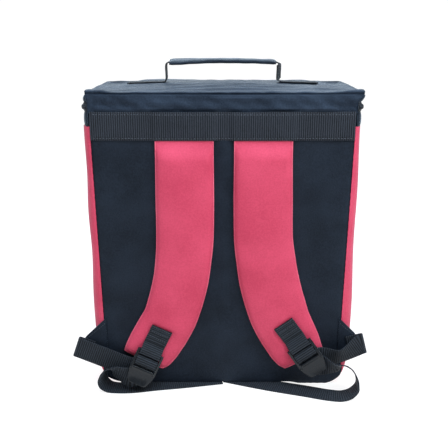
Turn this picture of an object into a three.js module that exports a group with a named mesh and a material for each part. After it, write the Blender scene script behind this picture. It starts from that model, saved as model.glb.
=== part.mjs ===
// A soft insulated backpack, standing on its base with the lid zipped shut.
// Millimetres, +Z up, wearer's side (shoulder straps) towards -Y, origin on the floor under its middle.
import * as THREE from "three";

// Driving sizes of the bag
const BAG_WIDTH = 372; // over the side panels
const BAG_DEPTH = 200; // back panel to front panel
const SEAM_HEIGHT = 424; // floor to the seam round the lid's top
const WALL = 7; // foam-lined wall
const GAP = 0.3; // between sewn pieces
const CORNER_DEPTH = 22; // how far the side panel's rounding runs in from each seam
const INSET_TOP = 7; // seam of the back panel in from the side's outline, at the rim
const INSET_LOW = 14; // the same above the bottom corners, where the sides bulge more
const BASE_INSET = 1.5; // seam above the floor
const INSET_FALL = 8; // the seam nears the outline round a bottom corner with this power of the cosine
const BOTTOM_RADIUS = 40; // rounded bottom corners, seen from the back
const BASE_HALF = 132; // half length of the black base panel
const BACK_SWELL = 2.5; // soft crown of the back and front panels
const TAIL_LIFT_RUN = 34; // how far in from the back it is fully lifted
const TAIL_LIFT_END = 60; // where it is back on the floor

// Rim, zip and lid
const RIM_HEIGHT = 19; // black band above the coloured panels
const BACK_DROP = 2; // back panel's top below the rim's
const ZIP_TAPE_WIDTH = 12;
const ZIP_TAPE_THICK = 1.6;
const ZIP_COIL_WIDTH = 5;
const ZIP_COIL_THICK = 2.6;
const SKIRT_HEIGHT = 9; // lid's side strip above the zip
const SKIRT_WALL = 5;
const LID_EDGE = 1.6; // lid panel's underside below its seam
const LID_OVERHANG = 1; // the lid is this much wider than the body on each side
const LID_REACH = 1.5; // and this much deeper at the back and the front
const LID_SHIFT = 2.7; // the soft lid sits a little to one side
const LID_INSET = 3; // its corners in plan
const LID_PAD = 8; // padded lid panel
const LID_ROLL = 3; // height of its rounded edge above the seam
const LID_ROLL_RUN = 9; // how far in that edge rounds over
const LID_DOME = 5.5;
const LID_FULLNESS = 0.8; // below 1 the dome stays high further out
const HINGE_WALL = 4; // strip that joins the lid to the back
const HINGE_BULGE = 2.3;

// Webbing across the back, shoulder straps and handle
const BAND_WIDTH = 38;
const BAND_THICK = 1.8;
const BAND_END = 9.5; // its ends in from the bag's sides
const BAND_RISE = 2.5; // its top above the back panel's
const BAND_RAMP = 8; // how far beside a strap the band comes down to the panel
const STRAP_WIDTH = 77;
const STRAP_THICK = 12;
const STRAP_HEAD = 2.6; // thickness where the band holds it down
const STRAP_SWELL_RUN = 26; // length over which it fills out below the band
const STRAP_TUCK = 24; // hidden under the band
const STRAP_END = 40; // middle of its lower end above the floor
const STRAP_SWAY = 61.5; // how far that end stands outside the head
const STRAP_SPACING = 106; // between the heads
const STRAP_SHIFT = 1.7; // the pair sits a little to one side
const HANDLE_WIDTH = 26;
const HANDLE_THICK = 1.6;
const HANDLE_SPAN = 162; // between its legs
const HANDLE_RISE = 29.5; // webbing above the lid
const HANDLE_FOOT = 56; // sewn flat on the lid outside each leg
const HANDLE_BEND = 4; // radius at its corners
const HANDLE_TWIST = 0.3; // how far the right leg's width turns towards +X
const GRIP_WIDTH = 31;
const GRIP_THICK = 6.4;
const GRIP_LENGTH = 152;
const GRIP_ARCH = 2;

// Adjuster webbing, wings and ladder-lock buckles
const WEB_WIDTH = 30;
const WEB_THICK = 1.6;
const WEB_BEND = 2.2; // centre radius where the webbing folds over
const WEB_SLACK = 0.3; // more room round the buckle's middle bar than a tight wrap
const WEB_TURN = 20; // centre radius where it swings round behind the buckle
const WING_SEAM = 70; // wing's side along the bag's seam
const WING_TOP = 106; // its upper corner above the floor
const WING_DROP = 42; // from there down to the webbing's fold, before each side's share
const WING_REACH = 34; // webbing's fold outside the bag's seam, before each side's share
const WING_THICK = 2.4;
const WING_LEG = 22; // webbing sewn along the wing
const WING_TUCK = 5; // how far in from the bag's seam the wing starts
const PATCH_X = 86; // upper end of the sewn webbing from the middle of the bag
const PATCH_Z = 99; // and above the floor, before each side's rise
const PATCH_LENGTH = 38; // from there to the buckle
const LOCK_WIDTH = 40;
const LOCK_LENGTH = 52;
const LOCK_THICK = 4;
const LOCK_CHAMFER = 2;
const LOCK_WINDOW = 31; // clear width for the webbing
const LOCK_BAR = 6; // width of its two crossbars, along the webbing
const LOCK_SLOT_UPPER = 8.5;
const LOCK_SLOT_LOWER = 7;
const LOCK_TIP = 25; // width of the tab's end
const LOCK_SHOULDER = 0.6; // share of the tab's length over which its sides curve in
const LOCK_LIFT = 3.6; // its back above the strap's face
const TAIL_SPAN = 184; // scale of the loose tails' reach to the side

// Plain zip sliders
const SLIDER_WIDTH = 8;
const SLIDER_BODY = 10;
const SLIDER_THICK = 4;
const SLIDER_SPACING = 12;
const PULL_LENGTH = 26;
const PULL_THICK = 1.8;

// Sizes that follow from these
const HALF_WIDTH = BAG_WIDTH / 2;
const HALF_DEPTH = BAG_DEPTH / 2;
const TAIL_LIFT = WEB_THICK + GAP; // the base rides up over the webbing tails along its back edge
const LID_BOTTOM = SEAM_HEIGHT - LID_EDGE;
const SKIRT_TOP = LID_BOTTOM - GAP;
const SKIRT_BOTTOM = SKIRT_TOP - SKIRT_HEIGHT;
const ZIP_TOP = SKIRT_BOTTOM - GAP;
const ZIP_BOTTOM = ZIP_TOP - ZIP_TAPE_WIDTH;
const ZIP_MIDDLE = (ZIP_TOP + ZIP_BOTTOM) / 2;
const RIM_TOP = ZIP_BOTTOM - GAP;
const RIM_BOTTOM = RIM_TOP - RIM_HEIGHT;
const PANEL_TOP = RIM_BOTTOM - GAP; // coloured panels end here
const BACK_TOP = RIM_TOP - BACK_DROP;
const BAND_TOP = BACK_TOP + BAND_RISE;
const BAND_BOTTOM = BAND_TOP - BAND_WIDTH;
const BAND_HALF_LENGTH = HALF_WIDTH - BAND_END;
const STRAP_DROP = BAND_BOTTOM + STRAP_TUCK - STRAP_END;
const LID_HALF_WIDTH = HALF_WIDTH + LID_OVERHANG;
const LID_HALF_DEPTH = HALF_DEPTH + LID_REACH;
const CORNER_START = HALF_DEPTH - CORNER_DEPTH;
const RIGHT_ANGLE = Math.PI / 2;

const SIDES = [
  { name: "left", side: -1 },
  { name: "right", side: 1 },
];

// Colours and finishes
const finish = (color, roughness) => new THREE.MeshStandardMaterial({ color, roughness, metalness: 0 });
const blackCloth = finish(0x1b2029, 0.85);
const redCloth = finish(0xd03a55, 0.8);
const webbing = finish(0x14171c, 0.75);
const blackPlastic = finish(0x15181c, 0.4);

const bag = new THREE.Group();

function addPiece(name, geometry, material) {
  const mesh = new THREE.Mesh(geometry, material);
  mesh.name = name;
  bag.add(mesh);
}

const { lerp, clamp, degToRad } = THREE.MathUtils;
const smooth = (t) => THREE.MathUtils.smoothstep(t, 0, 1);
const vector = (x, y, z) => new THREE.Vector3(x, y, z);
const OUT = vector(0, -1, 0); // away from the back panel
const UP = vector(0, 0, 1);

// count + 1 evenly spaced values from a to b
const steps = (a, b, count) => Array.from({ length: count + 1 }, (_, i) => lerp(a, b, i / count));

// Indexed geometry from a closed triangle list, turned so that its faces point out
function closedGeometry(points, triangles) {
  let volume = 0;
  for (const [a, b, c] of triangles) {
    volume += points[a].dot(new THREE.Vector3().crossVectors(points[b], points[c])) / 6;
  }
  const turned = volume < 0 ? triangles.map(([a, b, c]) => [a, c, b]) : triangles;
  const geometry = new THREE.BufferGeometry().setFromPoints(points);
  geometry.setIndex(turned.flat());
  return geometry;
}

// A wall between two grids of points, outer[i][j] and inner[i][j], closed along its four borders
function wall(outer, inner) {
  const rows = outer.length;
  const columns = outer[0].length;
  const points = [...outer.flat(), ...inner.flat()];
  const at = (side, i, j) => side * rows * columns + i * columns + j;
  const triangles = [];
  const quad = (a, b, c, d) => triangles.push([a, b, c], [a, c, d]);
  const row = rows - 1;
  const column = columns - 1;
  for (let i = 0; i < row; i++) {
    for (let j = 0; j < column; j++) {
      quad(at(0, i, j), at(0, i + 1, j), at(0, i + 1, j + 1), at(0, i, j + 1));
      quad(at(1, i, j), at(1, i, j + 1), at(1, i + 1, j + 1), at(1, i + 1, j));
    }
    quad(at(0, i, 0), at(1, i, 0), at(1, i + 1, 0), at(0, i + 1, 0));
    quad(at(0, i + 1, column), at(1, i + 1, column), at(1, i, column), at(0, i, column));
  }
  for (let j = 0; j < column; j++) {
    quad(at(0, 0, j + 1), at(1, 0, j + 1), at(1, 0, j), at(0, 0, j));
    quad(at(0, row, j), at(1, row, j), at(1, row, j + 1), at(0, row, j + 1));
  }
  return closedGeometry(points, triangles);
}

// A solid carried along stations of { point, wide, tangent }; section lists its corners as [across, through].
// With a second section of as many corners it is a sleeve, open at both ends.
function sweep(stations, section, bore) {
  const place = (station, [across, through]) => {
    const normal = new THREE.Vector3().crossVectors(station.tangent, station.wide);
    return station.point.clone().addScaledVector(station.wide, across).addScaledVector(normal, through);
  };
  const count = section.length;
  const points = [section, bore ?? []].flatMap((corners) =>
    stations.flatMap((station) => corners.map((corner) => place(station, corner))));
  const last = stations.length - 1;
  const at = (side, i, j) => (side * stations.length + i) * count + (j % count);
  const triangles = [];
  const quad = (a, b, c, d) => triangles.push([a, b, c], [a, c, d]);
  for (let i = 0; i < last; i++) {
    for (let j = 0; j < count; j++) {
      quad(at(0, i, j), at(0, i, j + 1), at(0, i + 1, j + 1), at(0, i + 1, j));
      if (bore) quad(at(1, i, j + 1), at(1, i, j), at(1, i + 1, j), at(1, i + 1, j + 1));
    }
  }
  if (bore) {
    for (let j = 0; j < count; j++) {
      quad(at(0, 0, j + 1), at(0, 0, j), at(1, 0, j), at(1, 0, j + 1));
      quad(at(0, last, j), at(0, last, j + 1), at(1, last, j + 1), at(1, last, j));
    }
  } else {
    for (let j = 1; j < count - 1; j++) {
      triangles.push([at(0, 0, 0), at(0, 0, j + 1), at(0, 0, j)]);
      triangles.push([at(0, last, 0), at(0, last, j), at(0, last, j + 1)]);
    }
  }
  return closedGeometry(points, triangles);
}

// Stations on a smooth curve through knots of { point, wide }
function ribbonStations(knots, stepsPerKnot) {
  const curve = new THREE.CatmullRomCurve3(knots.map((knot) => knot.point), false, "centripetal");
  const total = (knots.length - 1) * stepsPerKnot;
  return steps(0, 1, total).map((t, i) => {
    const first = Math.min(Math.floor(i / stepsPerKnot), knots.length - 2);
    const share = smooth(i / stepsPerKnot - first);
    const tangent = curve.getTangent(t);
    const wide = knots[first].wide.clone().lerp(knots[first + 1].wide, share);
    wide.addScaledVector(tangent, -wide.dot(tangent)).normalize();
    return { point: curve.getPoint(t), wide, tangent };
  });
}

const rectangle = (width, thick) => [
  [-width / 2, -thick / 2],
  [width / 2, -thick / 2],
  [width / 2, thick / 2],
  [-width / 2, thick / 2],
];

// Flat section with round ends
function roundedSection(width, thick) {
  const radius = thick / 2;
  const end = (side) => steps(-RIGHT_ANGLE, RIGHT_ANGLE, 4).map((angle) => [
    side * (width / 2 - radius + radius * Math.cos(angle)),
    side * radius * Math.sin(angle),
  ]);
  return [...end(1), ...end(-1)];
}

// Half width of the back panel at its seam, at height z above the bottom corners
function seamHalfWidth(z) {
  const up = (z - BOTTOM_RADIUS) / (RIM_TOP - BOTTOM_RADIUS);
  return HALF_WIDTH - lerp(INSET_LOW, INSET_TOP, clamp(up, 0, 1));
}

// The bag's outline seen from the back, down the +X side and round its bottom corner to the base panel.
// Each entry holds the outline's x and z, the direction (nx, nz) out of the bag and the inset of the seam.
function outlineDown() {
  const sides = steps(PANEL_TOP, BOTTOM_RADIUS, 5).slice(0, -1).map((z) => ({
    x: HALF_WIDTH,
    z,
    nx: 1,
    nz: 0,
    inset: HALF_WIDTH - seamHalfWidth(z),
  }));
  const corner = steps(0, RIGHT_ANGLE, 6).map((angle) => ({
    x: HALF_WIDTH - BOTTOM_RADIUS + BOTTOM_RADIUS * Math.cos(angle),
    z: BOTTOM_RADIUS - BOTTOM_RADIUS * Math.sin(angle),
    nx: Math.cos(angle),
    nz: -Math.sin(angle),
    inset: lerp(BASE_INSET, INSET_LOW, Math.cos(angle) ** INSET_FALL),
  }));
  return [...sides, ...corner];
}

const flatEntry = (x) => ({ x, z: 0, nx: 0, nz: -1, inset: BASE_INSET });

// How far the base stands off the floor at depth y, because it rides on the webbing tails at the back
function tailLift(y) {
  const run = y + HALF_DEPTH;
  return TAIL_LIFT * smooth((TAIL_LIFT_END - run) / (TAIL_LIFT_END - TAIL_LIFT_RUN));
}

// Rows across a side panel from back to front: depth y, and the share of the seam's inset there
function depthRows(edge) {
  const rounding = steps(RIGHT_ANGLE, 0, 3).map((angle) => ({
    y: CORNER_START + (edge - CORNER_START) * Math.sin(angle),
    share: 1 - Math.cos(angle),
  }));
  const back = rounding.map(({ y, share }) => ({ y: -y, share }));
  const lifted = steps(TAIL_LIFT_RUN, TAIL_LIFT_END, 2).map((run) => ({ y: run - HALF_DEPTH, share: 0 }));
  return [...back, ...lifted, ...rounding.reverse()];
}

// A point of the side and base wall: the outline moved in by depth, and further towards the seams
function gussetPoint(side, entry, { y, share }, depth) {
  const inward = lerp(depth, entry.inset, share) + tailLift(y) * entry.nz ** 2;
  return vector(side * (entry.x - entry.nx * inward), y, entry.z - entry.nz * inward);
}

function gusset(side, entries) {
  const grid = (edge, depth) =>
    entries.map((entry) => depthRows(edge).map((row) => gussetPoint(side, entry, row, depth)));
  return wall(grid(HALF_DEPTH, 0), grid(HALF_DEPTH - WALL, WALL));
}

for (const { name, side } of SIDES) {
  const entries = [...outlineDown(), flatEntry(BASE_HALF + GAP)];
  addPiece(`side_panel_${name}`, gusset(side, entries), redCloth);
}
addPiece("base_panel", gusset(1, steps(-BASE_HALF, BASE_HALF, 2).map(flatEntry)), blackCloth);

// Crown of the back and front panels at (x, z)
function swell(x, z) {
  const across = Math.max(0, 1 - (x / HALF_WIDTH) ** 2);
  const up = clamp(z / BACK_TOP, 0, 1);
  return BACK_SWELL * across * 4 * up * (1 - up);
}

// A back or front panel, with rows at the seam's heights, crowned towards facing
function facePanel(facing, top) {
  const lift = tailLift(facing * HALF_DEPTH);
  const seam = outlineDown().map((entry) => {
    const inward = entry.inset + lift * entry.nz ** 2;
    return { half: entry.x - entry.nx * inward - GAP, z: entry.z - entry.nz * (inward + GAP) };
  });
  const rows = [{ half: seamHalfWidth(top) - GAP, z: top }, ...seam.slice(top > PANEL_TOP ? 0 : 1)];
  const shares = [-1, -0.94, -0.8, -0.55, -0.28, 0, 0.28, 0.55, 0.8, 0.94, 1];
  const grid = (stand, crown) => rows.map(({ half, z }) => shares.map((share) =>
    vector(share * half, facing * (stand + crown * swell(share * half, z)), z)));
  return wall(grid(HALF_DEPTH, 1), grid(HALF_DEPTH - WALL, 0.5));
}

addPiece("back_panel", facePanel(-1, BACK_TOP), blackCloth);
addPiece("front_panel", facePanel(1, PANEL_TOP), redCloth);

// Plan of a strip that runs from the back seam round the left side, the front and the right side
function planOutline(halfWidth, halfDepth, inset, cornerDepth, shift) {
  const rounding = steps(RIGHT_ANGLE, 0, 4).map((angle) => ({
    x: halfWidth - inset * (1 - Math.cos(angle)),
    y: halfDepth - cornerDepth + cornerDepth * Math.sin(angle),
  }));
  const backLeft = rounding.map(({ x, y }) => [-x, -y]);
  const frontLeft = [...rounding].reverse().map(({ x, y }) => [-x, y]);
  const half = [...backLeft, ...frontLeft];
  const mirrored = [...half].reverse().map(([x, y]) => [-x, y]);
  return [...half, ...mirrored].map(([x, y]) => [x + shift, y]);
}

// A strip standing on that plan. Each row has its height z, how far it stands proud of the body's outline,
// and its lean from the body's outline (0) to the lid's (1).
function ringStrip(rows, thick) {
  const grid = (inwards) => rows.map(({ z, proud = 0, lean = 0 }) => {
    const out = inwards ? -inwards : proud;
    const plan = planOutline(
      lerp(HALF_WIDTH, LID_HALF_WIDTH, lean) + out,
      lerp(HALF_DEPTH, LID_HALF_DEPTH, lean) + out,
      lerp(INSET_TOP, LID_INSET, lean) + out,
      CORNER_DEPTH + out,
      LID_SHIFT * lean,
    );
    return plan.map(([x, y]) => vector(x, y, z));
  });
  return wall(grid(0), grid(thick));
}

addPiece("rim_band", ringStrip([{ z: RIM_BOTTOM }, { z: RIM_TOP }], WALL), blackCloth);

const coilHalf = ZIP_COIL_WIDTH / 2;
const coilRows = [
  { z: ZIP_BOTTOM },
  { z: ZIP_MIDDLE - coilHalf - GAP },
  { z: ZIP_MIDDLE - coilHalf, proud: ZIP_COIL_THICK },
  { z: ZIP_MIDDLE + coilHalf, proud: ZIP_COIL_THICK },
  { z: ZIP_MIDDLE + coilHalf + GAP },
  { z: ZIP_TOP },
];
addPiece("zip_tape", ringStrip(coilRows, ZIP_TAPE_THICK), webbing);

const skirtRows = [
  { z: SKIRT_BOTTOM, lean: 0 },
  { z: SKIRT_TOP, lean: 1 },
];
addPiece("lid_skirt", ringStrip(skirtRows, SKIRT_WALL), blackCloth);

// A zip slider with its pull hanging down, extruded from its side view
function zipSlider(x) {
  const pullBack = SLIDER_THICK - PULL_THICK;
  const profile = new THREE.Shape();
  profile.moveTo(0, SLIDER_BODY / 2);
  profile.lineTo(0, -SLIDER_BODY / 2);
  profile.lineTo(pullBack, -SLIDER_BODY / 2);
  profile.lineTo(pullBack, -PULL_LENGTH);
  profile.lineTo(SLIDER_THICK, -PULL_LENGTH);
  profile.lineTo(SLIDER_THICK, SLIDER_BODY / 2);
  const geometry = new THREE.ExtrudeGeometry(profile, { depth: SLIDER_WIDTH, bevelEnabled: false });
  geometry.applyMatrix4(new THREE.Matrix4().makeBasis(vector(0, 1, 0), UP, vector(1, 0, 0)));
  geometry.translate(x - SLIDER_WIDTH / 2, HALF_DEPTH + ZIP_COIL_THICK + GAP, ZIP_MIDDLE);
  return geometry;
}

for (const { name, side } of SIDES) {
  addPiece(`zip_slider_${name}`, zipSlider((side * SLIDER_SPACING) / 2), blackPlastic);
}

// Half width of the lid in plan at depth y
function lidHalfWidth(y) {
  const into = clamp((Math.abs(y) - (LID_HALF_DEPTH - CORNER_DEPTH)) / CORNER_DEPTH, 0, 1);
  return LID_HALF_WIDTH - LID_INSET * (1 - Math.sqrt(1 - into ** 2));
}

// Height of the padded lid at (x, y) from its own middle: a rounded edge, then a shallow dome
function lidTop(x, y) {
  const fromEdge = Math.min(lidHalfWidth(y) - Math.abs(x), LID_HALF_DEPTH - Math.abs(y));
  const into = clamp(fromEdge / LID_ROLL_RUN, 0, 1);
  const dome = Math.max(0, 1 - (x / LID_HALF_WIDTH) ** 2) * Math.max(0, 1 - (y / LID_HALF_DEPTH) ** 2);
  return SEAM_HEIGHT + LID_ROLL * Math.sqrt(1 - (1 - into) ** 2) + LID_DOME * dome ** LID_FULLNESS;
}

function lidPanel() {
  const borders = [0, LID_ROLL_RUN / 4, LID_ROLL_RUN];
  const depths = [...borders, CORNER_DEPTH, LID_HALF_DEPTH / 2].map((run) => LID_HALF_DEPTH - run);
  const rows = [...depths.map((y) => -y), 0, ...depths.reverse()];
  const columns = (half) => {
    const ends = [...borders, half / 3, (2 * half) / 3].map((run) => half - run);
    return [...ends.map((x) => -x), 0, ...ends.reverse()];
  };
  const grid = (height) => rows.map((y) =>
    columns(lidHalfWidth(y)).map((x) => vector(x + LID_SHIFT, y, height(lidTop(x, y)))));
  return wall(grid((top) => top), grid((top) => Math.max(LID_BOTTOM, top - LID_PAD)));
}

addPiece("lid_panel", lidPanel(), blackCloth);

// Strip between the lid and the back panel, which the lid hinges on: height, lean to the lid's outline, bulge
const hingeRows = [
  { z: BACK_TOP + GAP, lean: 0, bulge: 0 },
  { z: BAND_TOP + GAP, lean: 0, bulge: 0 },
  { z: ZIP_MIDDLE, lean: 0, bulge: 1 },
  { z: SKIRT_BOTTOM, lean: 0, bulge: 1 },
  { z: SKIRT_TOP, lean: 1, bulge: 0.6 },
];
const hingeGrid = (depth) => hingeRows.map(({ z, lean, bulge }) => {
  const half = lerp(HALF_WIDTH - INSET_TOP, LID_HALF_WIDTH - LID_INSET, lean) - GAP;
  return steps(-1, 1, 6).map((share) =>
    vector(share * half + LID_SHIFT * lean, depth - HALF_DEPTH - HINGE_BULGE * bulge * (1 - share ** 4), z));
});
addPiece("hinge_panel", wall(hingeGrid(0), hingeGrid(HINGE_WALL)), blackCloth);

// Webbing across the top of the back, lying over the straps' heads
const strapCentre = (side) => (side * STRAP_SPACING) / 2 + STRAP_SHIFT;

function bandLift(x) {
  const beside = Math.min(...SIDES.map(({ side }) => Math.abs(x - strapCentre(side)) - STRAP_WIDTH / 2));
  return (STRAP_HEAD + GAP) * (1 - smooth(beside / BAND_RAMP));
}

const bandColumns = SIDES.flatMap(({ side }) => [-1, 1].flatMap((edge) =>
  [0, BAND_RAMP / 2, BAND_RAMP].map((run) => strapCentre(side) + edge * (STRAP_WIDTH / 2 + run))));
bandColumns.push(-BAND_HALF_LENGTH, BAND_HALF_LENGTH);
bandColumns.sort((a, b) => a - b);
const bandGrid = (thick) => steps(BAND_TOP, BAND_BOTTOM, 2).map((z) => bandColumns.map((x) =>
  vector(x, -HALF_DEPTH - swell(x, z) - GAP - bandLift(x) - thick, z)));
addPiece("back_webbing", wall(bandGrid(BAND_THICK), bandGrid(0)), webbing);

// Course of a shoulder strap from its hidden head to its lower end.
// drop and sway are shares of STRAP_DROP and STRAP_SWAY; inner and outer are shares of half the strap's
// width, and spread is a further such share on the outer edge of the right strap.
const strapCourse = [
  { drop: 0, sway: 0, inner: 1, outer: 1, spread: 0 },
  { drop: STRAP_TUCK / STRAP_DROP, sway: 0, inner: 1, outer: 1, spread: 0 },
  { drop: (STRAP_TUCK + STRAP_SWELL_RUN) / STRAP_DROP, sway: 0, inner: 1, outer: 1, spread: 0 },
  { drop: 0.3, sway: 0, inner: 1.01, outer: 1.02, spread: 0.02 },
  { drop: 0.465, sway: 0.01, inner: 1, outer: 1.02, spread: 0.05 },
  { drop: 0.551, sway: 0.05, inner: 0.98, outer: 1, spread: 0.12 },
  { drop: 0.644, sway: 0.125, inner: 0.98, outer: 0.99, spread: 0.17 },
  { drop: 0.757, sway: 0.28, inner: 0.95, outer: 1, spread: 0.19 },
  { drop: 0.813, sway: 0.4, inner: 0.95, outer: 0.98, spread: 0.19 },
  { drop: 0.869, sway: 0.585, inner: 0.98, outer: 0.97, spread: 0.11 },
  { drop: 0.934, sway: 0.795, inner: 0.95, outer: 0.96, spread: 0.05 },
  { drop: 0.975, sway: 0.925, inner: 0.87, outer: 0.92, spread: 0 },
  { drop: 1, sway: 1, inner: 0.73, outer: 0.88, spread: 0 },
];
// Fullness of its padding: place between the inner (-1) and the outer edge (1), share of STRAP_THICK
const strapPadding = [
  { across: -1, full: 0.5 },
  { across: -0.86, full: 0.88 },
  { across: -0.5, full: 1 },
  { across: 0.5, full: 1 },
  { across: 0.86, full: 0.88 },
  { across: 1, full: 0.5 },
];

function strapGrid(side, thickShare) {
  const head = BAND_BOTTOM + STRAP_TUCK;
  const at = ({ drop, sway }) => vector(STRAP_SWAY * sway, 0, head - STRAP_DROP * drop);
  const course = new THREE.CatmullRomCurve3(strapCourse.map(at), false, "centripetal");
  const total = (strapCourse.length - 1) * 2;
  return steps(0, 1, total).map((t, i) => {
    const row = Math.min(Math.floor(i / 2), strapCourse.length - 2);
    const share = i / 2 - row;
    const centre = course.getPoint(t);
    const heading = course.getTangent(t);
    const filled = smooth((BAND_BOTTOM - centre.z) / STRAP_SWELL_RUN);
    const between = (column) => lerp(strapCourse[row][column], strapCourse[row + 1][column], share);
    const outerShare = between("outer") + (side > 0 ? between("spread") : 0);
    return strapPadding.map(({ across, full }) => {
      const half = ((across < 0 ? between("inner") : outerShare) * STRAP_WIDTH) / 2;
      const x = strapCentre(side) + side * (centre.x - heading.z * across * half);
      const z = centre.z + heading.x * across * half;
      const thick = lerp(STRAP_HEAD, STRAP_THICK * full, filled);
      return vector(x, -HALF_DEPTH - swell(x, z) - GAP - thick * thickShare, z);
    });
  });
}

for (const { name, side } of SIDES) {
  addPiece(`shoulder_strap_${name}`, wall(strapGrid(side, 1), strapGrid(side, 0)), redCloth);
}

// Each buckle and the webbing between it and the wing.
// lean: of the buckle out from upright, and tilt: of its tab off the strap, in degrees;
// rise: of the sewn webbing's upper end, share of WEB_WIDTH;
// reach, drop: of the fold outside the wing, shares of WING_REACH and WING_DROP;
// sag: of the middle of the free stretch, share of WEB_WIDTH; roll: how far its upper edge leans out there.
const buckles = {
  left: { side: -1, lean: 25.5, tilt: 11, rise: -0.13, reach: 1.1, drop: 1.03, sag: 0, roll: 0 },
  right: { side: 1, lean: 36, tilt: 6, rise: 0.13, reach: 0.9, drop: 0.9, sag: 0.3, roll: 0.55 },
};

// Loose tail from behind each buckle to its end under the bag.
// out: from the middle, share of TAIL_SPAN; near: in front of the back panel, share of WEB_WIDTH;
// up: of its middle above the floor, share of WEB_WIDTH; edge: direction of its outer edge (out, near, up).
const tails = {
  left: [
    { out: 0.83, near: 0.65, up: 0.93, edge: [-0.1, 0.5, 0.86] },
    { out: 0.89, near: 0.6, up: 1.05, edge: [-0.16, 0.87, 0.47] },
    { out: 0.932, near: 0.57, up: 0.94, edge: [0.1, 0.97, 0.2] },
    { out: 0.95, near: 0.55, up: 0.66, edge: [0.25, 0.96, 0] },
    { out: 0.945, near: 0.5, up: 0.36, edge: [0.25, 0.96, 0] },
    { out: 0.915, near: 0.47, up: 0.12, edge: [0.18, 0.98, 0] },
    { out: 0.87, near: 0.46, up: 0, edge: [0.08, 1, 0] },
    { out: 0.73, near: 0.48, up: 0, edge: [-0.05, 1, 0] },
    { out: 0.54, near: 0.25, up: 0, edge: [-0.16, 1, 0] },
    { out: 0.32, near: 0.01, up: 0, edge: [-0.18, 1, 0] },
    { out: 0.016, near: -0.38, up: 0, edge: [-0.2, 1, 0] },
  ],
  right: [
    { out: 0.875, near: 0.78, up: 1.25, edge: [-0.1, 0.6, 0.8] },
    { out: 0.935, near: 0.82, up: 1.38, edge: [-0.17, 0.87, 0.47] },
    { out: 1, near: 0.9, up: 1.24, edge: [-0.1, 0.9, 0.4] },
    { out: 1.045, near: 1.03, up: 0.84, edge: [-0.05, 0.98, 0.2] },
    { out: 1.045, near: 1.14, up: 0.42, edge: [-0.06, 1, 0] },
    { out: 1, near: 1.22, up: 0.13, edge: [-0.1, 1, 0] },
    { out: 0.93, near: 1.26, up: 0, edge: [-0.18, 1, 0] },
    { out: 0.83, near: 1.18, up: 0, edge: [-0.26, 1, 0] },
    { out: 0.66, near: 0.83, up: 0, edge: [-0.32, 1, 0] },
    { out: 0.38, near: 0.27, up: 0, edge: [-0.34, 1, 0] },
    { out: 0.036, near: -0.55, up: 0, edge: [-0.36, 1, 0] },
  ],
};

// Places along the buckle, from its upper edge
const MIDDLE_BAR_START = LOCK_BAR + LOCK_SLOT_UPPER;
const MIDDLE_BAR_END = MIDDLE_BAR_START + LOCK_BAR;
const TAB_START = MIDDLE_BAR_END + LOCK_SLOT_LOWER;

const strapFace = HALF_DEPTH + swell(PATCH_X, PATCH_Z) + GAP + STRAP_THICK;
const webLift = GAP + WEB_THICK / 2; // middle of webbing that lies on something

// A buckle's frame: origin on the strap's face at the buckle's upper edge; along the webbing, across it, out.
// tilted turns it with the buckle, whose back is LOCK_LIFT above the strap there.
function lockFrame({ side, lean, tilt: opening, rise }, tilted) {
  const angle = degToRad(lean);
  const down = vector(side * Math.sin(angle), 0, -Math.cos(angle));
  const patchTop = vector(side * PATCH_X, -strapFace, PATCH_Z + rise * WEB_WIDTH);
  const origin = patchTop.addScaledVector(down, PATCH_LENGTH);
  const tilt = tilted ? degToRad(opening) : 0;
  const along = down.clone().multiplyScalar(Math.cos(tilt)).addScaledVector(OUT, Math.sin(tilt));
  const out = OUT.clone().multiplyScalar(Math.cos(tilt)).addScaledVector(down, -Math.sin(tilt));
  if (tilted) origin.addScaledVector(OUT, LOCK_LIFT);
  const across = new THREE.Vector3().crossVectors(along, out);
  const at = (a, n) => origin.clone().addScaledVector(along, a).addScaledVector(out, n);
  return { along, across, out, origin, at };
}

function buckleGeometry(buckle) {
  const half = LOCK_WIDTH / 2;
  const tip = LOCK_TIP / 2;
  const shoulder = lerp(TAB_START, LOCK_LENGTH, LOCK_SHOULDER);
  const outline = new THREE.Shape();
  outline.moveTo(-half + LOCK_CHAMFER, 0);
  outline.lineTo(half - LOCK_CHAMFER, 0);
  outline.lineTo(half, LOCK_CHAMFER);
  outline.lineTo(half, TAB_START);
  outline.quadraticCurveTo(half, shoulder, tip, LOCK_LENGTH - LOCK_CHAMFER);
  outline.lineTo(tip - LOCK_CHAMFER, LOCK_LENGTH);
  outline.lineTo(LOCK_CHAMFER - tip, LOCK_LENGTH);
  outline.lineTo(-tip, LOCK_LENGTH - LOCK_CHAMFER);
  outline.quadraticCurveTo(-half, shoulder, -half, TAB_START);
  outline.lineTo(-half, LOCK_CHAMFER);
  const slot = (start, end) => {
    const hole = new THREE.Path();
    hole.moveTo(-LOCK_WINDOW / 2, start);
    hole.lineTo(-LOCK_WINDOW / 2, end);
    hole.lineTo(LOCK_WINDOW / 2, end);
    hole.lineTo(LOCK_WINDOW / 2, start);
    return hole;
  };
  outline.holes.push(slot(LOCK_BAR, MIDDLE_BAR_START), slot(MIDDLE_BAR_END, TAB_START));
  const extrusion = { depth: LOCK_THICK, bevelEnabled: false, curveSegments: 4 };
  const geometry = new THREE.ExtrudeGeometry(outline, extrusion);
  const { along, across, out, origin } = lockFrame(buckle, true);
  geometry.applyMatrix4(new THREE.Matrix4().makeBasis(across, along, out).setPosition(origin));
  return geometry;
}

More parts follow.
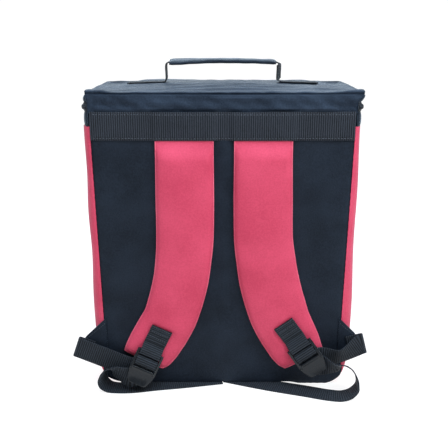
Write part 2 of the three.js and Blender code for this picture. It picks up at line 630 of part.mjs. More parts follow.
// Points of webbing drawn round a crossbar from start to end, from its back (when rising) over its front.
// Angles are measured in the buckle's side view, 90 degrees straight out.
function roundBar(frame, start, end, clearance) {
  const corners = [
    { a: start, n: 0, angles: [180] },
    { a: start, n: LOCK_THICK, angles: [180, 135, 90] },
    { a: end, n: LOCK_THICK, angles: [90, 45, 0] },
    { a: end, n: 0, angles: [0] },
  ];
  return corners.flatMap(({ a, n, angles }) => angles.map((angle) =>
    frame.at(a + clearance * Math.cos(degToRad(angle)), n + clearance * Math.sin(degToRad(angle)))));
}

// Webbing sewn on the strap, over the buckle's upper bar and back underneath it
function loopKnots(buckle) {
  const flat = lockFrame(buckle, false);
  const tilted = lockFrame(buckle, true);
  const points = [
    flat.at(-PATCH_LENGTH, webLift),
    flat.at(-PATCH_LENGTH / 2, webLift),
    flat.at(-LOCK_BAR * 1.5, webLift),
    ...roundBar(tilted, 0, LOCK_BAR, webLift).slice(2),
    tilted.at(LOCK_BAR, -webLift),
    tilted.at(LOCK_BAR / 4, -webLift),
  ];
  return points.map((point) => ({ point, wide: tilted.across }));
}

// Webbing swinging in its own plane round a centre to its last point, end: toCentre points from end to the
// centre, and startRadial from the centre to where it begins. The width always points at the centre.
function swingKnots(end, toCentre, startRadial) {
  const centre = end.clone().addScaledVector(toCentre, WEB_TURN);
  return steps(0, 1, 4).map((share) => {
    const radial = startRadial.clone().lerp(toCentre.clone().negate(), share).normalize();
    return { point: centre.clone().addScaledVector(radial, WEB_TURN), wide: radial.clone().negate() };
  });
}

// Where the webbing folds over outside the wing, from the middle of the bag and above the floor
function foldPlace({ reach, drop }) {
  const z = WING_TOP - WING_DROP * drop;
  return { x: seamHalfWidth(z) + WING_REACH * reach, z };
}
const wingBack = HALF_DEPTH + 2 * GAP;

// The whole adjuster: sewn on the wing, folded over, across to the buckle, round its middle bar, and the tail
function adjusterKnots(name) {
  const { side, sag, roll, lean } = buckles[name];
  const foldAt = foldPlace(buckles[name]);
  const flat = lockFrame(buckles[name], false);
  const tilted = lockFrame(buckles[name], true);
  const outwards = vector(side * Math.cos(degToRad(lean)), 0, Math.sin(degToRad(lean)));

  // Behind the buckle the webbing runs up to the middle bar, having swung round from the wing
  const swingEnd = flat.at((MIDDLE_BAR_START + MIDDLE_BAR_END) / 2, webLift);
  const fold = vector(side * foldAt.x, -wingBack - WING_THICK - webLift - WEB_BEND, foldAt.z);
  const lowest = swingEnd.clone().addScaledVector(outwards, WEB_TURN).addScaledVector(UP, -WEB_TURN);
  const heading = vector(lowest.x - fold.x, 0, lowest.z - fold.z).normalize();
  const upper = vector(side * heading.z, 0, -side * heading.x);
  const swing = swingKnots(swingEnd, outwards, upper.clone().negate());

  const onFold = (run, lift) => fold.clone().addScaledVector(heading, run).addScaledVector(OUT, lift);
  const onBend = (degrees) =>
    onFold(-WEB_BEND * Math.cos(degToRad(degrees)), WEB_BEND * Math.sin(degToRad(degrees)));
  const leg = [
    onFold(WING_LEG, -WEB_BEND),
    onFold(WEB_BEND, -WEB_BEND),
    onBend(-60),
    onBend(0),
    onBend(60),
    onFold(WEB_BEND, WEB_BEND),
  ].map((point) => ({ point, wide: upper }));
  leg.push({
    point: onFold(0, WEB_BEND).lerp(swing[0].point, 0.5).addScaledVector(UP, -sag * WEB_WIDTH),
    wide: upper.clone().addScaledVector(OUT, roll).normalize(),
  });

  // Up through the upper slot, over the middle bar and down through the lower slot
  const slack = webLift + WEB_SLACK;
  const behindTab = -slack - WEB_THICK / 2;
  const weave = [
    ...roundBar(tilted, MIDDLE_BAR_START, MIDDLE_BAR_END, slack),
    tilted.at(MIDDLE_BAR_END + slack * Math.SQRT2, -slack),
    tilted.at((MIDDLE_BAR_END + TAB_START) / 2 + slack, behindTab),
  ].map((point) => ({ point, wide: outwards }));

  // Down behind the tab, swinging outwards again
  const tailStart = tilted.at(TAB_START + LOCK_BAR / 2, behindTab);
  const tailSwing = swingKnots(tailStart, outwards, UP.clone().negate()).reverse();
  const tail = tails[name].map(({ out, near, up, edge }) => ({
    point: vector(side * out * TAIL_SPAN, -HALF_DEPTH - near * WEB_WIDTH, WEB_THICK / 2 + up * WEB_WIDTH),
    wide: vector(side * edge[0], -edge[1], edge[2]).normalize(),
  }));
  return [...leg, ...swing, ...weave, ...tailSwing, ...tail];
}

for (const { name } of SIDES) {
  const section = rectangle(WEB_WIDTH, WEB_THICK);
  addPiece(`buckle_${name}`, buckleGeometry(buckles[name]), blackPlastic);
  addPiece(`buckle_loop_${name}`, sweep(ribbonStations(loopKnots(buckles[name]), 2), section), webbing);
  addPiece(`adjuster_${name}`, sweep(ribbonStations(adjusterKnots(name), 2), section), webbing);
}

// Triangular wings of doubled cloth, sewn in the side seams
for (const { name, side } of SIDES) {
  const { x: foldX, z: foldZ } = foldPlace(buckles[name]);
  const tipX = foldX - WEB_BEND;
  const base = seamHalfWidth(WING_TOP) - GAP - WING_TUCK;
  const outline = new THREE.Shape();
  outline.moveTo(side * base, WING_TOP);
  outline.lineTo(side * (tipX - WEB_WIDTH / 3), foldZ + WEB_WIDTH / 2);
  outline.lineTo(side * tipX, foldZ);
  outline.lineTo(side * (tipX - WEB_WIDTH / 6), foldZ - WEB_WIDTH / 2);
  outline.lineTo(side * base, WING_TOP - WING_SEAM);
  const geometry = new THREE.ExtrudeGeometry(outline, { depth: WING_THICK, bevelEnabled: false });
  geometry.rotateX(RIGHT_ANGLE);
  geometry.translate(0, -wingBack, 0);
  addPiece(`wing_${name}`, geometry, blackCloth);
}

// Carrying handle: one webbing, sewn flat on the lid at both ends, through a padded grip
const handleTop = lidTop(0, 0) + HANDLE_RISE;
const archPoint = (x) => vector(x, 0, handleTop - GRIP_ARCH * (x / (HANDLE_SPAN / 2 - HANDLE_BEND)) ** 2);

function handleKnots() {
  const leg = HANDLE_SPAN / 2;
  const corner = archPoint(leg - HANDLE_BEND).z;
  const bendMiddle = HANDLE_BEND * (1 - Math.SQRT1_2); // in from both legs of a corner
  const across = vector(0, 1, 0);
  const lying = (x, rise) => {
    const z = lidTop(x - LID_SHIFT, 0) + GAP + HANDLE_THICK / 2 + rise;
    return { point: vector(x, 0, z), wide: across };
  };
  const half = (side) => {
    const turned = vector(side > 0 ? HANDLE_TWIST : 0, 1, 0).normalize();
    return [
      lying(side * (leg + HANDLE_FOOT), 0),
      lying(side * (leg + HANDLE_FOOT / 2), 0),
      lying(side * (leg + 2 * HANDLE_BEND), 0),
      lying(side * (leg + HANDLE_BEND), 0),
      lying(side * (leg + bendMiddle), bendMiddle),
      { ...lying(side * leg, HANDLE_BEND), wide: turned },
      { point: vector(side * leg, 0, corner - HANDLE_BEND), wide: turned },
      { point: vector(side * (leg - bendMiddle), 0, corner - bendMiddle), wide: across },
      { point: archPoint(side * (leg - HANDLE_BEND)), wide: across },
    ];
  };
  const arch = steps(-0.5, 0.5, 4).map((share) => ({ point: archPoint(share * GRIP_LENGTH), wide: across }));
  return [...half(-1), ...arch, ...half(1).reverse()];
}

const handleSection = rectangle(HANDLE_WIDTH, HANDLE_THICK);
addPiece("handle_webbing", sweep(ribbonStations(handleKnots(), 2), handleSection), webbing);

const gripKnots = steps(-0.5, 0.5, 4).map((share) => ({
  point: archPoint(share * GRIP_LENGTH),
  wide: vector(0, 1, 0),
}));
const boreThick = HANDLE_THICK + 2 * GAP;
const gripBore = roundedSection(HANDLE_WIDTH + boreThick, boreThick);
const gripSection = roundedSection(GRIP_WIDTH, GRIP_THICK);
addPiece("handle_grip", sweep(ribbonStations(gripKnots, 2), gripSection, gripBore), blackCloth);

export default bag;
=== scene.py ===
# %% [markdown]
# # Dressing a cooler backpack
# The CAD part gives the bag's true sizes as plain faceted solids. This notebook dresses it: padded cloth
# panels with seams, a domed zipped lid, foam straps, ribbed webbing and satin buckles. Everything is in
# metres, in the part's own frame: +Z up, the wearer's side towards -Y, the origin on the floor under the
# bag.

# %% Load the frame
import math

import bpy
import numpy as np
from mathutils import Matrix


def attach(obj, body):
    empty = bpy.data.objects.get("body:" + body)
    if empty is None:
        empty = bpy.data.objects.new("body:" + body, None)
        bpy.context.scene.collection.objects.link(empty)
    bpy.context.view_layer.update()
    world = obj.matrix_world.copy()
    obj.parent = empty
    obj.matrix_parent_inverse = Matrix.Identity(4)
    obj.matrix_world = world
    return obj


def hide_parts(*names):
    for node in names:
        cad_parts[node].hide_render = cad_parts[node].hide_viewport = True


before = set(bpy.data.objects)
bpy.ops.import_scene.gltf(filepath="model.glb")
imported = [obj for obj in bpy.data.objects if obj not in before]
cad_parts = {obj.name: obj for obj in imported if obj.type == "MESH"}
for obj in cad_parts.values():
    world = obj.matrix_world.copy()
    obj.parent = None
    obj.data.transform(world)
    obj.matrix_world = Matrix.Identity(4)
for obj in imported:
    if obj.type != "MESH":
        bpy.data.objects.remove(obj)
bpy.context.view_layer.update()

# %% [markdown]
# ## Camera
# The picture was taken from about a metre away, half a metre above the floor, looking down a little. A
# focal length of 677 pixels on a picture 448 pixels wide becomes a lens on Blender's 36 mm sensor. The
# small shift keeps the bag as far off the middle as it is in the picture.

# %% Camera
PICTURE_WIDTH = 448
FOCAL_PIXELS = 677
SENSOR = 36
PITCH_DOWN = math.radians(16.3)
SHIFT_PIXELS = 1.4
camera_data = bpy.data.cameras.new("camera")
camera_data.sensor_width = SENSOR
camera_data.lens = SENSOR * FOCAL_PIXELS / PICTURE_WIDTH
camera_data.shift_x = SHIFT_PIXELS / PICTURE_WIDTH
camera = bpy.data.objects.new("camera", camera_data)
camera.location = (0, -1.0, 0.5097)
camera.rotation_euler = (math.pi / 2 - PITCH_DOWN, 0, 0)
bpy.context.scene.collection.objects.link(camera)
bpy.context.scene.camera = camera
print("lens", round(camera_data.lens, 2), "mm")

# %% [markdown]
# ## Sizes
# These are the sizes that the CAD part was built from, so that every dressed piece fits its solid.

# %% Sizes from the part
HALF_WIDTH, HALF_DEPTH = 0.186, 0.1
WALL, GAP = 0.007, 0.0003
SEAM_HEIGHT, LID_BOTTOM = 0.424, 0.4224
RIM_TOP, RIM_BOTTOM = 0.4005, 0.3815
PANEL_TOP, BACK_TOP = 0.3812, 0.3985
CORNER_DEPTH, BOTTOM_RADIUS, BASE_HALF = 0.022, 0.04, 0.132
INSET_TOP, INSET_LOW, BASE_INSET, INSET_FALL = 0.007, 0.014, 0.0015, 8
TAIL_LIFT, TAIL_LIFT_RUN, TAIL_LIFT_END = 0.0019, 0.034, 0.06
BAND_TOP, BAND_BOTTOM, BAND_THICK, BAND_HALF = 0.401, 0.363, 0.0018, 0.1765
STRAP_HALF, STRAP_THICK, STRAP_HEAD = 0.0385, 0.012, 0.0026
STRAP_SPACING, STRAP_SHIFT = 0.106, 0.0017
WEB_WIDTH, WEB_THICK = 0.03, 0.0016
SIDES = {"left": -1, "right": 1}


def clamp(x):
    """x kept between 0 and 1."""
    return np.clip(x, 0, 1)


def smooth(x):
    """0 below 0, 1 above 1, and 3x^2 - 2x^3 between them."""
    x = clamp(x)
    return x * x * (3 - 2 * x)


def lerp(a, b, t):
    """From a at t = 0 to b at t = 1 in a straight line."""
    return a + (b - a) * t


def hump(x, middle, spread):
    """A bell over x: e to minus the square of (x - middle) / spread."""
    return np.exp(-(((x - middle) / spread) ** 2))


def flatter(c, power):
    """A sine or cosine bent towards a squarer curve: its sign times its size to that power."""
    return np.sign(c) * np.abs(c) ** power


# %% [markdown]
# ## Uneven cloth
# Real cloth over foam is never flat. A few sine waves of one rough length, in seeded directions, add up to
# a swell with no visible repeat, and they need no texture file.

# %% Ripples
def ripples(u, v, length, seed, count=8):
    """Sum of count sine waves over (u, v), about length long, each turned its own way, over sqrt(count)."""
    rng = np.random.default_rng(seed)
    total = np.zeros(np.broadcast(u, v).shape)
    for angle, stretch, phase in rng.uniform((0, 0.7, 0), (np.pi, 1.5, 2 * np.pi), (count, 3)):
        along = (u * np.cos(angle) + v * np.sin(angle)) / (length * stretch)
        total = total + np.sin(2 * np.pi * along + phase)
    return total / math.sqrt(count)


# %% [markdown]
# ## From arrays to meshes
# Each surface is a grid of points, numbered row by row. The faces of a grid follow from its counts alone,
# so they are worked out as one array. A closed mesh has a positive volume when its faces point outwards,
# and that sum decides whether they are turned round.

# %% Lines and grids of points
def grid(*parts):
    """Coordinates spread over one grid and stacked as its points."""
    return np.stack(np.broadcast_arrays(*parts), -1)


def unit(vectors):
    """Vectors divided by their lengths."""
    return vectors / np.linalg.norm(vectors, axis=-1, keepdims=True)


def square_to(vectors, heading):
    """Unit vectors at right angles to the headings: what is left without the share along them."""
    return unit(vectors - heading * (vectors * heading).sum(1)[:, None])


def length_run(points):
    """Length along a line of points up to each one: the sum of the steps before it."""
    return np.concatenate([[0], np.cumsum(np.linalg.norm(np.diff(points, axis=0), axis=1))])


def at_lengths(s, run, points):
    """Points at lengths s along a line, straight between its own."""
    return np.stack([np.interp(s, run, column) for column in points.T], -1)


def eased(count, power=2.2):
    """Shares from -1 to 1 that crowd together towards both ends: 1 - (1 - |t|)^power, with t's sign."""
    t = np.linspace(-1, 1, count)
    return np.sign(t) * (1 - (1 - np.abs(t)) ** power)


# %% Mesh helpers
def grid_faces(rows, columns, closed=False):
    """Quads between neighbouring rows and columns; closed joins the last column to the first."""
    i = np.arange(rows - 1)[:, None] * columns
    j = np.arange(columns if closed else columns - 1)[None]
    k = (j + 1) % columns
    return np.stack([i + j, i + k, i + columns + k, i + columns + j], -1).reshape(-1, 4)


def volume(points, faces):
    """Signed volume inside quads: a sixth of the sum of a . (b x c) over their triangles."""
    a, b, c, d = (points[faces[:, n]] for n in range(4))
    return (np.einsum("ij,ij", a, np.cross(b, c)) + np.einsum("ij,ij", a, np.cross(c, d))) / 6


def mesh_object(name, points, faces, uv, caps=(), sharp=50):
    """An object from quads and optional end polygons, with one UV per point, smooth but for sharp edges."""
    points = np.asarray(points, float).reshape(-1, 3)
    turned = volume(points, faces) < 0
    polygons = (faces[:, ::-1] if turned else faces).tolist()
    polygons += [list(cap)[::-1] if turned else list(cap) for cap in caps]
    mesh = bpy.data.meshes.new(name)
    mesh.from_pydata(points.tolist(), [], polygons)
    corners = np.zeros(len(mesh.loops), np.int32)
    mesh.loops.foreach_get("vertex_index", corners)
    layer = mesh.uv_layers.new(name="UVMap")
    layer.data.foreach_set("uv", np.asarray(uv, np.float32).reshape(-1, 2)[corners].ravel())
    mesh.polygons.foreach_set("use_smooth", np.ones(len(mesh.polygons), bool))
    mesh.set_sharp_from_angle(angle=math.radians(sharp))
    mesh.update()
    piece = bpy.data.objects.new(name, mesh)
    bpy.context.scene.collection.objects.link(piece)
    return piece


def wall(name, outer, inner, uv, sharp=50):
    """A wall between two grids of points, closed along their four borders."""
    rows, columns = outer.shape[:2]
    index = np.arange(rows * columns).reshape(rows, columns)
    border = np.concatenate([index[0], index[1:, -1], index[-1, -2::-1], index[-2:0:-1, 0]])
    following = np.roll(border, -1)
    count = rows * columns
    rim = np.stack([following, border, border + count, following + count], -1)
    front = grid_faces(rows, columns)
    faces = np.concatenate([front, front[:, ::-1] + count, rim])
    points = np.concatenate([outer.reshape(-1, 3), inner.reshape(-1, 3)])
    return mesh_object(name, points, faces, np.concatenate([uv.reshape(-1, 2)] * 2), sharp=sharp)


def read_points(mesh):
    """The mesh's points as rows of x, y, z."""
    points = np.zeros(len(mesh.vertices) * 3)
    mesh.vertices.foreach_get("co", points)
    return points.reshape(-1, 3)


def write_points(mesh, points):
    """Moves the mesh's points to these rows of x, y, z."""
    mesh.vertices.foreach_set("co", points.ravel())
    mesh.update()


def finish_piece(piece, material, slot, *nodes, fill=None):
    """Gives a piece its material and body, and hides its CAD nodes; slot and fill are not used."""
    piece.data.materials.clear()
    piece.data.materials.append(material)
    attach(piece, "root")
    if nodes:
        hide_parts(*nodes)
    print(piece.name, len(piece.data.polygons), "faces")
    return piece


# %% [markdown]
# ## Materials
# All colour and relief comes from nodes. Woven cloth is two sets of fine bands at right angles that read
# the piece's own UV map in metres, so the threads follow each panel. Slow noise varies the tone as daylight
# and wear do, and a faint sheen stands for the fuzz of the yarn.

# %% Node helper
def add_node(tree, kind, inputs, **settings):
    """One shader node with its settings, and inputs that are either values or other nodes' sockets."""
    made = tree.nodes.new(kind)
    for key, value in settings.items():
        setattr(made, key, value)
    for key, value in inputs.items():
        if isinstance(value, bpy.types.NodeSocket):
            tree.links.new(value, made.inputs[key])
        else:
            made.inputs[key].default_value = value
    return made


def math_node(tree, operation, *values):
    return add_node(tree, "ShaderNodeMath", dict(enumerate(values)), operation=operation).outputs[0]


def new_material(name):
    """A material with its shader and output, and the sockets of the UV map and the Object coordinates."""
    material = bpy.data.materials.new(name)
    material.use_nodes = True
    tree = material.node_tree
    tree.nodes.clear()
    shader = add_node(tree, "ShaderNodeBsdfPrincipled", {})
    output = add_node(tree, "ShaderNodeOutputMaterial", {"Surface": shader.outputs[0]})
    output.location = (300, 0)
    coordinates = add_node(tree, "ShaderNodeTexCoord", {})
    return material, tree, shader, coordinates.outputs["UV"], coordinates.outputs["Object"]


def set_shader(shader, values):
    """Sets values that are the same all over the surface on the shader's own sockets."""
    for key, value in values.items():
        shader.inputs[key].default_value = value


def emboss(tree, shader, height, strength, distance):
    """Tilts the shader's normals by a height from 0 to 1 that stands for distance metres."""
    bump = add_node(tree, "ShaderNodeBump", {"Strength": strength, "Distance": distance, "Height": height})
    tree.links.new(bump.outputs[0], shader.inputs["Normal"])


def noise(tree, place, size, detail=2.0):
    """Noise from 0 to 1 whose patches are about size metres across."""
    made = add_node(tree, "ShaderNodeTexNoise", {"Vector": place, "Scale": 1 / size, "Detail": detail})
    return made.outputs["Fac"]


def tone(tree, factor, dark, light, low=0.3, high=0.7):
    """Colour from dark to light as factor goes from low to high."""
    ramp = add_node(tree, "ShaderNodeValToRGB", {"Fac": factor})
    for stop, place, colour in zip(ramp.color_ramp.elements, (low, high), (dark, light)):
        stop.position = place
        stop.color = (*colour, 1)
    return ramp.outputs["Color"]


def bands(tree, value, pitch):
    """Rounded threads: the size of the sine of value, half a wave for each pitch."""
    wave = math_node(tree, "SINE", math_node(tree, "MULTIPLY", value, math.pi / pitch))
    return math_node(tree, "ABSOLUTE", wave)


# %% Woven cloth
def cloth(name, dark, light, pitch=0.0011, sheen=0.25, roughness=0.82, gloss=0.2):
    """Plain weave: threads along u and v at one pitch, over slow changes of tone and slight pilling."""
    material, tree, shader, uv, place = new_material(name)
    axes = add_node(tree, "ShaderNodeSeparateXYZ", {"Vector": uv})
    weft, warp = (bands(tree, axes.outputs[axis], pitch) for axis in (0, 1))
    weave = math_node(tree, "MULTIPLY", weft, warp)
    slow = noise(tree, place, 0.05, 3)
    fine = noise(tree, place, 0.0022, 2)
    mottle = math_node(tree, "MULTIPLY_ADD", fine, 0.4, math_node(tree, "MULTIPLY", slow, 0.6))
    threads = math_node(tree, "MULTIPLY_ADD", weave, 0.16, math_node(tree, "SUBTRACT", mottle, 0.06))
    tree.links.new(tone(tree, threads, dark, light, 0.36, 0.66), shader.inputs["Base Color"])
    height = math_node(tree, "ADD", weave, math_node(tree, "MULTIPLY", fine, 1.4))
    emboss(tree, shader, height, 0.55, 0.0004)
    set_shader(shader, {
        "Roughness": roughness,
        "Specular IOR Level": gloss,
        "Specular Tint": (0.72, 0.86, 1, 1),
        "Sheen Weight": sheen,
        "Sheen Roughness": 0.3,
        "Sheen Tint": (0.6, 0.8, 1, 1),
    })
    return material


BLACK_CLOTH = cloth(
    "black_cloth", (0.003, 0.0048, 0.0095), (0.0105, 0.0155, 0.026), sheen=0.42, roughness=0.58
)
# painted light: a lighter copy of the black cloth for the lid and hinge, for the light they catch from above
BLACK_CLOTH_PAINTED_LIGHTER = cloth(
    "black_cloth_painted_lighter", (0.0065, 0.011, 0.021), (0.021, 0.032, 0.053), sheen=0.17, roughness=0.6
)
RED_CLOTH = cloth(
    "red_cloth", (0.5, 0.031, 0.075), (0.63, 0.056, 0.116), sheen=0.15, roughness=0.62, gloss=0.42
)
# painted highlight: a paler copy of the red cloth for the light that the straps' rolled edges catch
RED_CLOTH_PAINTED_HIGHLIGHT = cloth("red_cloth_painted_highlight", (0.6, 0.07, 0.13), (0.8, 0.15, 0.22), sheen=0.2)
GRIP_CLOTH = cloth(
    "grip_cloth", (0.004, 0.007, 0.013), (0.013, 0.02, 0.033), pitch=0.0014, sheen=0.4, roughness=0.6
)


# %% [markdown]
# Webbing is woven far more coarsely, and its cross ribs are real relief in the mesh. The material adds the
# warp threads that run along it as relief, painted highlights on the rib tops and painted shade in the
# valleys, and the stray light fibres of used webbing.

# %% Webbing
def webbing(name, dark, light, rib, sheen=0.15):
    """Warp threads across v, with painted highlights on the cross ribs' tops along u and painted shade
    between.
    """
    material, tree, shader, uv, place = new_material(name)
    axes = add_node(tree, "ShaderNodeSeparateXYZ", {"Vector": uv})
    ribs = bands(tree, axes.outputs[0], rib)
    warp = bands(tree, axes.outputs[1], 0.0013)
    fine = noise(tree, place, 0.0018, 2)
    slow = noise(tree, place, 0.03, 2)
    # the ribs term paints highlights on the rib tops and shade in the valleys; the noise is wear and tone
    shade = math_node(tree, "MULTIPLY_ADD", ribs, 0.5, math_node(tree, "MULTIPLY", fine, 0.4))
    shade = math_node(tree, "MULTIPLY_ADD", slow, 0.2, shade)
    tree.links.new(tone(tree, shade, dark, light, 0.42, 0.78), shader.inputs["Base Color"])
    height = math_node(tree, "MULTIPLY_ADD", warp, 0.6, math_node(tree, "ADD", ribs, fine))
    emboss(tree, shader, height, 0.6, 0.0004)
    set_shader(shader, {
        "Roughness": 0.7,
        "Specular IOR Level": 0.2,
        "Sheen Weight": sheen,
        "Sheen Roughness": 0.35,
        "Sheen Tint": (0.7, 0.85, 1, 1),
    })
    return material


STRAP_RIB, BAND_RIB = 0.003, 0.0029  # from one cross rib to the next
WEBBING = webbing("adjuster_webbing", (0.0003, 0.0006, 0.001), (0.022, 0.028, 0.038), STRAP_RIB)
HANDLE_WEBBING = webbing(
    "handle_webbing_weave", (0.0008, 0.001, 0.0016), (0.012, 0.015, 0.02), STRAP_RIB, sheen=0.08
)
BAND_WEBBING = webbing("band_webbing", (0.0018, 0.0025, 0.004), (0.025, 0.03, 0.041), BAND_RIB)

# %% [markdown]
# The buckles and sliders are satin moulded plastic: a fine spark-eroded grain, roughness that varies a
# little where fingers have rubbed it, and soft highlights on the edges.

# %% Plastic, thread and zip
def plastic(name, colour, roughness):
    """Moulded plastic: fine grain in the relief, and roughness a little lower where it is rubbed."""
    material, tree, shader, _, place = new_material(name)
    rubbed = noise(tree, place, 0.012, 3)
    rough = math_node(tree, "MULTIPLY_ADD", rubbed, 0.2, roughness - 0.1)
    tree.links.new(rough, shader.inputs["Roughness"])
    emboss(tree, shader, noise(tree, place, 0.0007, 1), 0.18, 0.0002)
    lighter = [channel * 1.5 for channel in colour]
    tree.links.new(tone(tree, rubbed, colour, lighter, 0.3, 0.8), shader.inputs["Base Color"])
    set_shader(shader, {
        "Specular IOR Level": 0.22, "Coat Weight": 0.35, "Coat Roughness": 0.16, "Coat IOR": 1.5
    })
    return material


PLASTIC = plastic("satin_black_plastic", (0.0014, 0.0034, 0.006), 0.28)
ZIP_COIL = plastic("zip_coil", (0.007, 0.009, 0.013), 0.45)
BLACK_THREAD = plastic("black_thread", (0.045, 0.052, 0.065), 0.6)
RED_THREAD = plastic("red_thread", (0.5, 0.035, 0.075), 0.6)

# %% [markdown]
# ## The bag's outline
# Seen from the back the bag is a tall rectangle with rounded bottom corners. The same list of stations down
# its side serves the side panels and the face panels, so that they meet in one seam. Each station has a
# place, the direction out of the bag, and how far the seam lies in from the widest part.

# %% Outline
def seam_half(z):
    """Half width of the back at its seam: narrower low down, where the sides bulge more."""
    up = clamp((z - BOTTOM_RADIUS) / (RIM_TOP - BOTTOM_RADIUS))
    return HALF_WIDTH - lerp(INSET_LOW, INSET_TOP, up)


def outline_down(top=PANEL_TOP, straight=78, corner=22):
    """Rows of x, z, nx, nz, inset, down the side and round a quarter circle to the base."""
    z = np.linspace(top, BOTTOM_RADIUS, straight)[:-1]
    side = np.stack([z * 0 + HALF_WIDTH, z, z * 0 + 1, z * 0, HALF_WIDTH - seam_half(z)], -1)
    angle = np.linspace(0, np.pi / 2, corner)
    cos, sin = np.cos(angle), np.sin(angle)
    x = HALF_WIDTH - BOTTOM_RADIUS * (1 - cos)
    inset = lerp(BASE_INSET, INSET_LOW, cos**INSET_FALL)
    turn = np.stack([x, BOTTOM_RADIUS * (1 - sin), cos, -sin, inset], -1)
    return np.concatenate([side, turn])


def tail_lift(y):
    """How far the base rides up over the webbing tails at depth y."""
    return TAIL_LIFT * smooth((TAIL_LIFT_END - y - HALF_DEPTH) / (TAIL_LIFT_END - TAIL_LIFT_RUN))


def settled(x, y):
    """1 along the back edge right of the loose tails, where nothing holds the cloth off the floor."""
    return smooth((x - 0.097) / 0.022) * smooth((-y - 0.05) / 0.03)


def swell(x, z):
    """The CAD panels' own crown: highest in the middle, nothing at the edges."""
    up = clamp(z / BACK_TOP)
    return 0.0025 * np.maximum(0, 1 - (x / HALF_WIDTH) ** 2) * 4 * up * (1 - up)


# %% [markdown]
# ## Side panels and base
# One red padded panel runs down each side, round the bottom corner and under the bag to a black base. It is
# a grid: stations down the outline one way, places from the back seam to the front seam the other. Near
# each seam the cloth rolls over a quarter ellipse and then dips into the stitching, with small puckers.

# %% Gusset surface
SEAM_DIP, SEAM_RUN = 0.0016, 0.005  # how far the cloth sinks at a seam, and over what width
COVER = 0.0012  # the back panel's edge covers the red side by this much round the bottom corners
SETTLE = 0.0031  # its lower edge sinks by this much where no webbing tail holds it up


def corner_low(z):
    """1 round the bottom corners and 0 above them, where the black panel's edge covers the red."""
    return smooth((0.032 - z) / 0.02)


def depth_rows(edge, corner=14, flat=34):
    """Depths y from back to front, and the seam's share in the inset there: 1 - cos along a rounded edge."""
    start = HALF_DEPTH - CORNER_DEPTH
    angle = np.linspace(np.pi / 2, 0, corner)
    y = start + (edge - start) * np.sin(angle)
    share = 1 - np.cos(angle)
    middle = np.linspace(-start, start, flat)[1:-1]
    return np.concatenate([-y, middle, y[::-1]]), np.concatenate([share, middle * 0, share[::-1]])


def gusset_grid(side, rows, edge, depth, seed):
    """The outline moved in by depth, further towards the seams; the outer one has swell, dips and puckers."""
    y, share = depth_rows(edge)
    x, z, nx, nz, inset = (column[:, None] for column in rows.T)
    rests = settled(side * x, y) * nz**2
    inward = lerp(depth, inset * (1 - 0.7 * rests), share) + tail_lift(y) * nz**2 * (1 - rests)
    down = np.concatenate([[0], np.cumsum(np.hypot(np.diff(rows[:, 0]), np.diff(rows[:, 1])))])[:, None]
    if depth == 0:
        from_seam = np.minimum(edge - np.abs(y) + 0.4 * CORNER_DEPTH * (1 - share), edge)
        near = 1 - smooth(from_seam / SEAM_RUN)
        clear = smooth((z - 0.03) / 0.05)
        soft = 0.0012 + 0.0007 * ripples(y, down, 0.11, seed) + 0.001 * (1 - (y / HALF_DEPTH) ** 2)
        pucker = 0.00018 * np.sin(down / 0.0085 * 2 * np.pi + 2 * ripples(y * 0, down, 0.09, seed + 1))
        inward = inward - clear * (soft * smooth(from_seam / 0.02) + pucker * (1 - smooth(from_seam / 0.014)))
        inward = inward + SEAM_DIP * near * clear
    held_back = COVER * corner_low(z) * share
    points = grid(side * (x - nx * inward), y - np.sign(y) * held_back, z - nz * inward)
    return points, grid(y, down)


def gusset(name, side, rows, seed):
    """The wall between the outer grid and one that lies a wall's thickness inside it."""
    outer, uv = gusset_grid(side, rows, HALF_DEPTH, 0, seed)
    inner, _ = gusset_grid(side, rows, HALF_DEPTH - WALL, WALL, seed)
    return wall(name, outer, inner, uv)


under = np.linspace(HALF_WIDTH - BOTTOM_RADIUS, BASE_HALF + GAP, 4)[1:]
under_rows = np.stack([under, under * 0, under * 0, under * 0 - 1, under * 0 + BASE_INSET], -1)
for name, side in SIDES.items():
    rows = np.concatenate([outline_down(), under_rows])
    finish_piece(
        gusset(f"side_{name}", side, rows, 3 + side), RED_CLOTH, "red_cloth", f"side_panel_{name}", fill=0.6
    )

across = np.linspace(-BASE_HALF, BASE_HALF, 60)
base_rows = np.stack([across, across * 0, across * 0, across * 0 - 1, across * 0 + BASE_INSET], -1)
finish_piece(gusset("base", 1, base_rows, 9), BLACK_CLOTH, "black_cloth", "base_panel", fill=0.5)


# %% [markdown]
# ## Back and front panels
# The wearer's side is one black panel, and the far side a red one. Each is a foam-filled face between the
# two side panels: a grid of rows at the outline's heights, as wide as the seam allows. It swells between
# the seams, dips into them with puckers, and has the shallow waves of foam that has been packed flat.

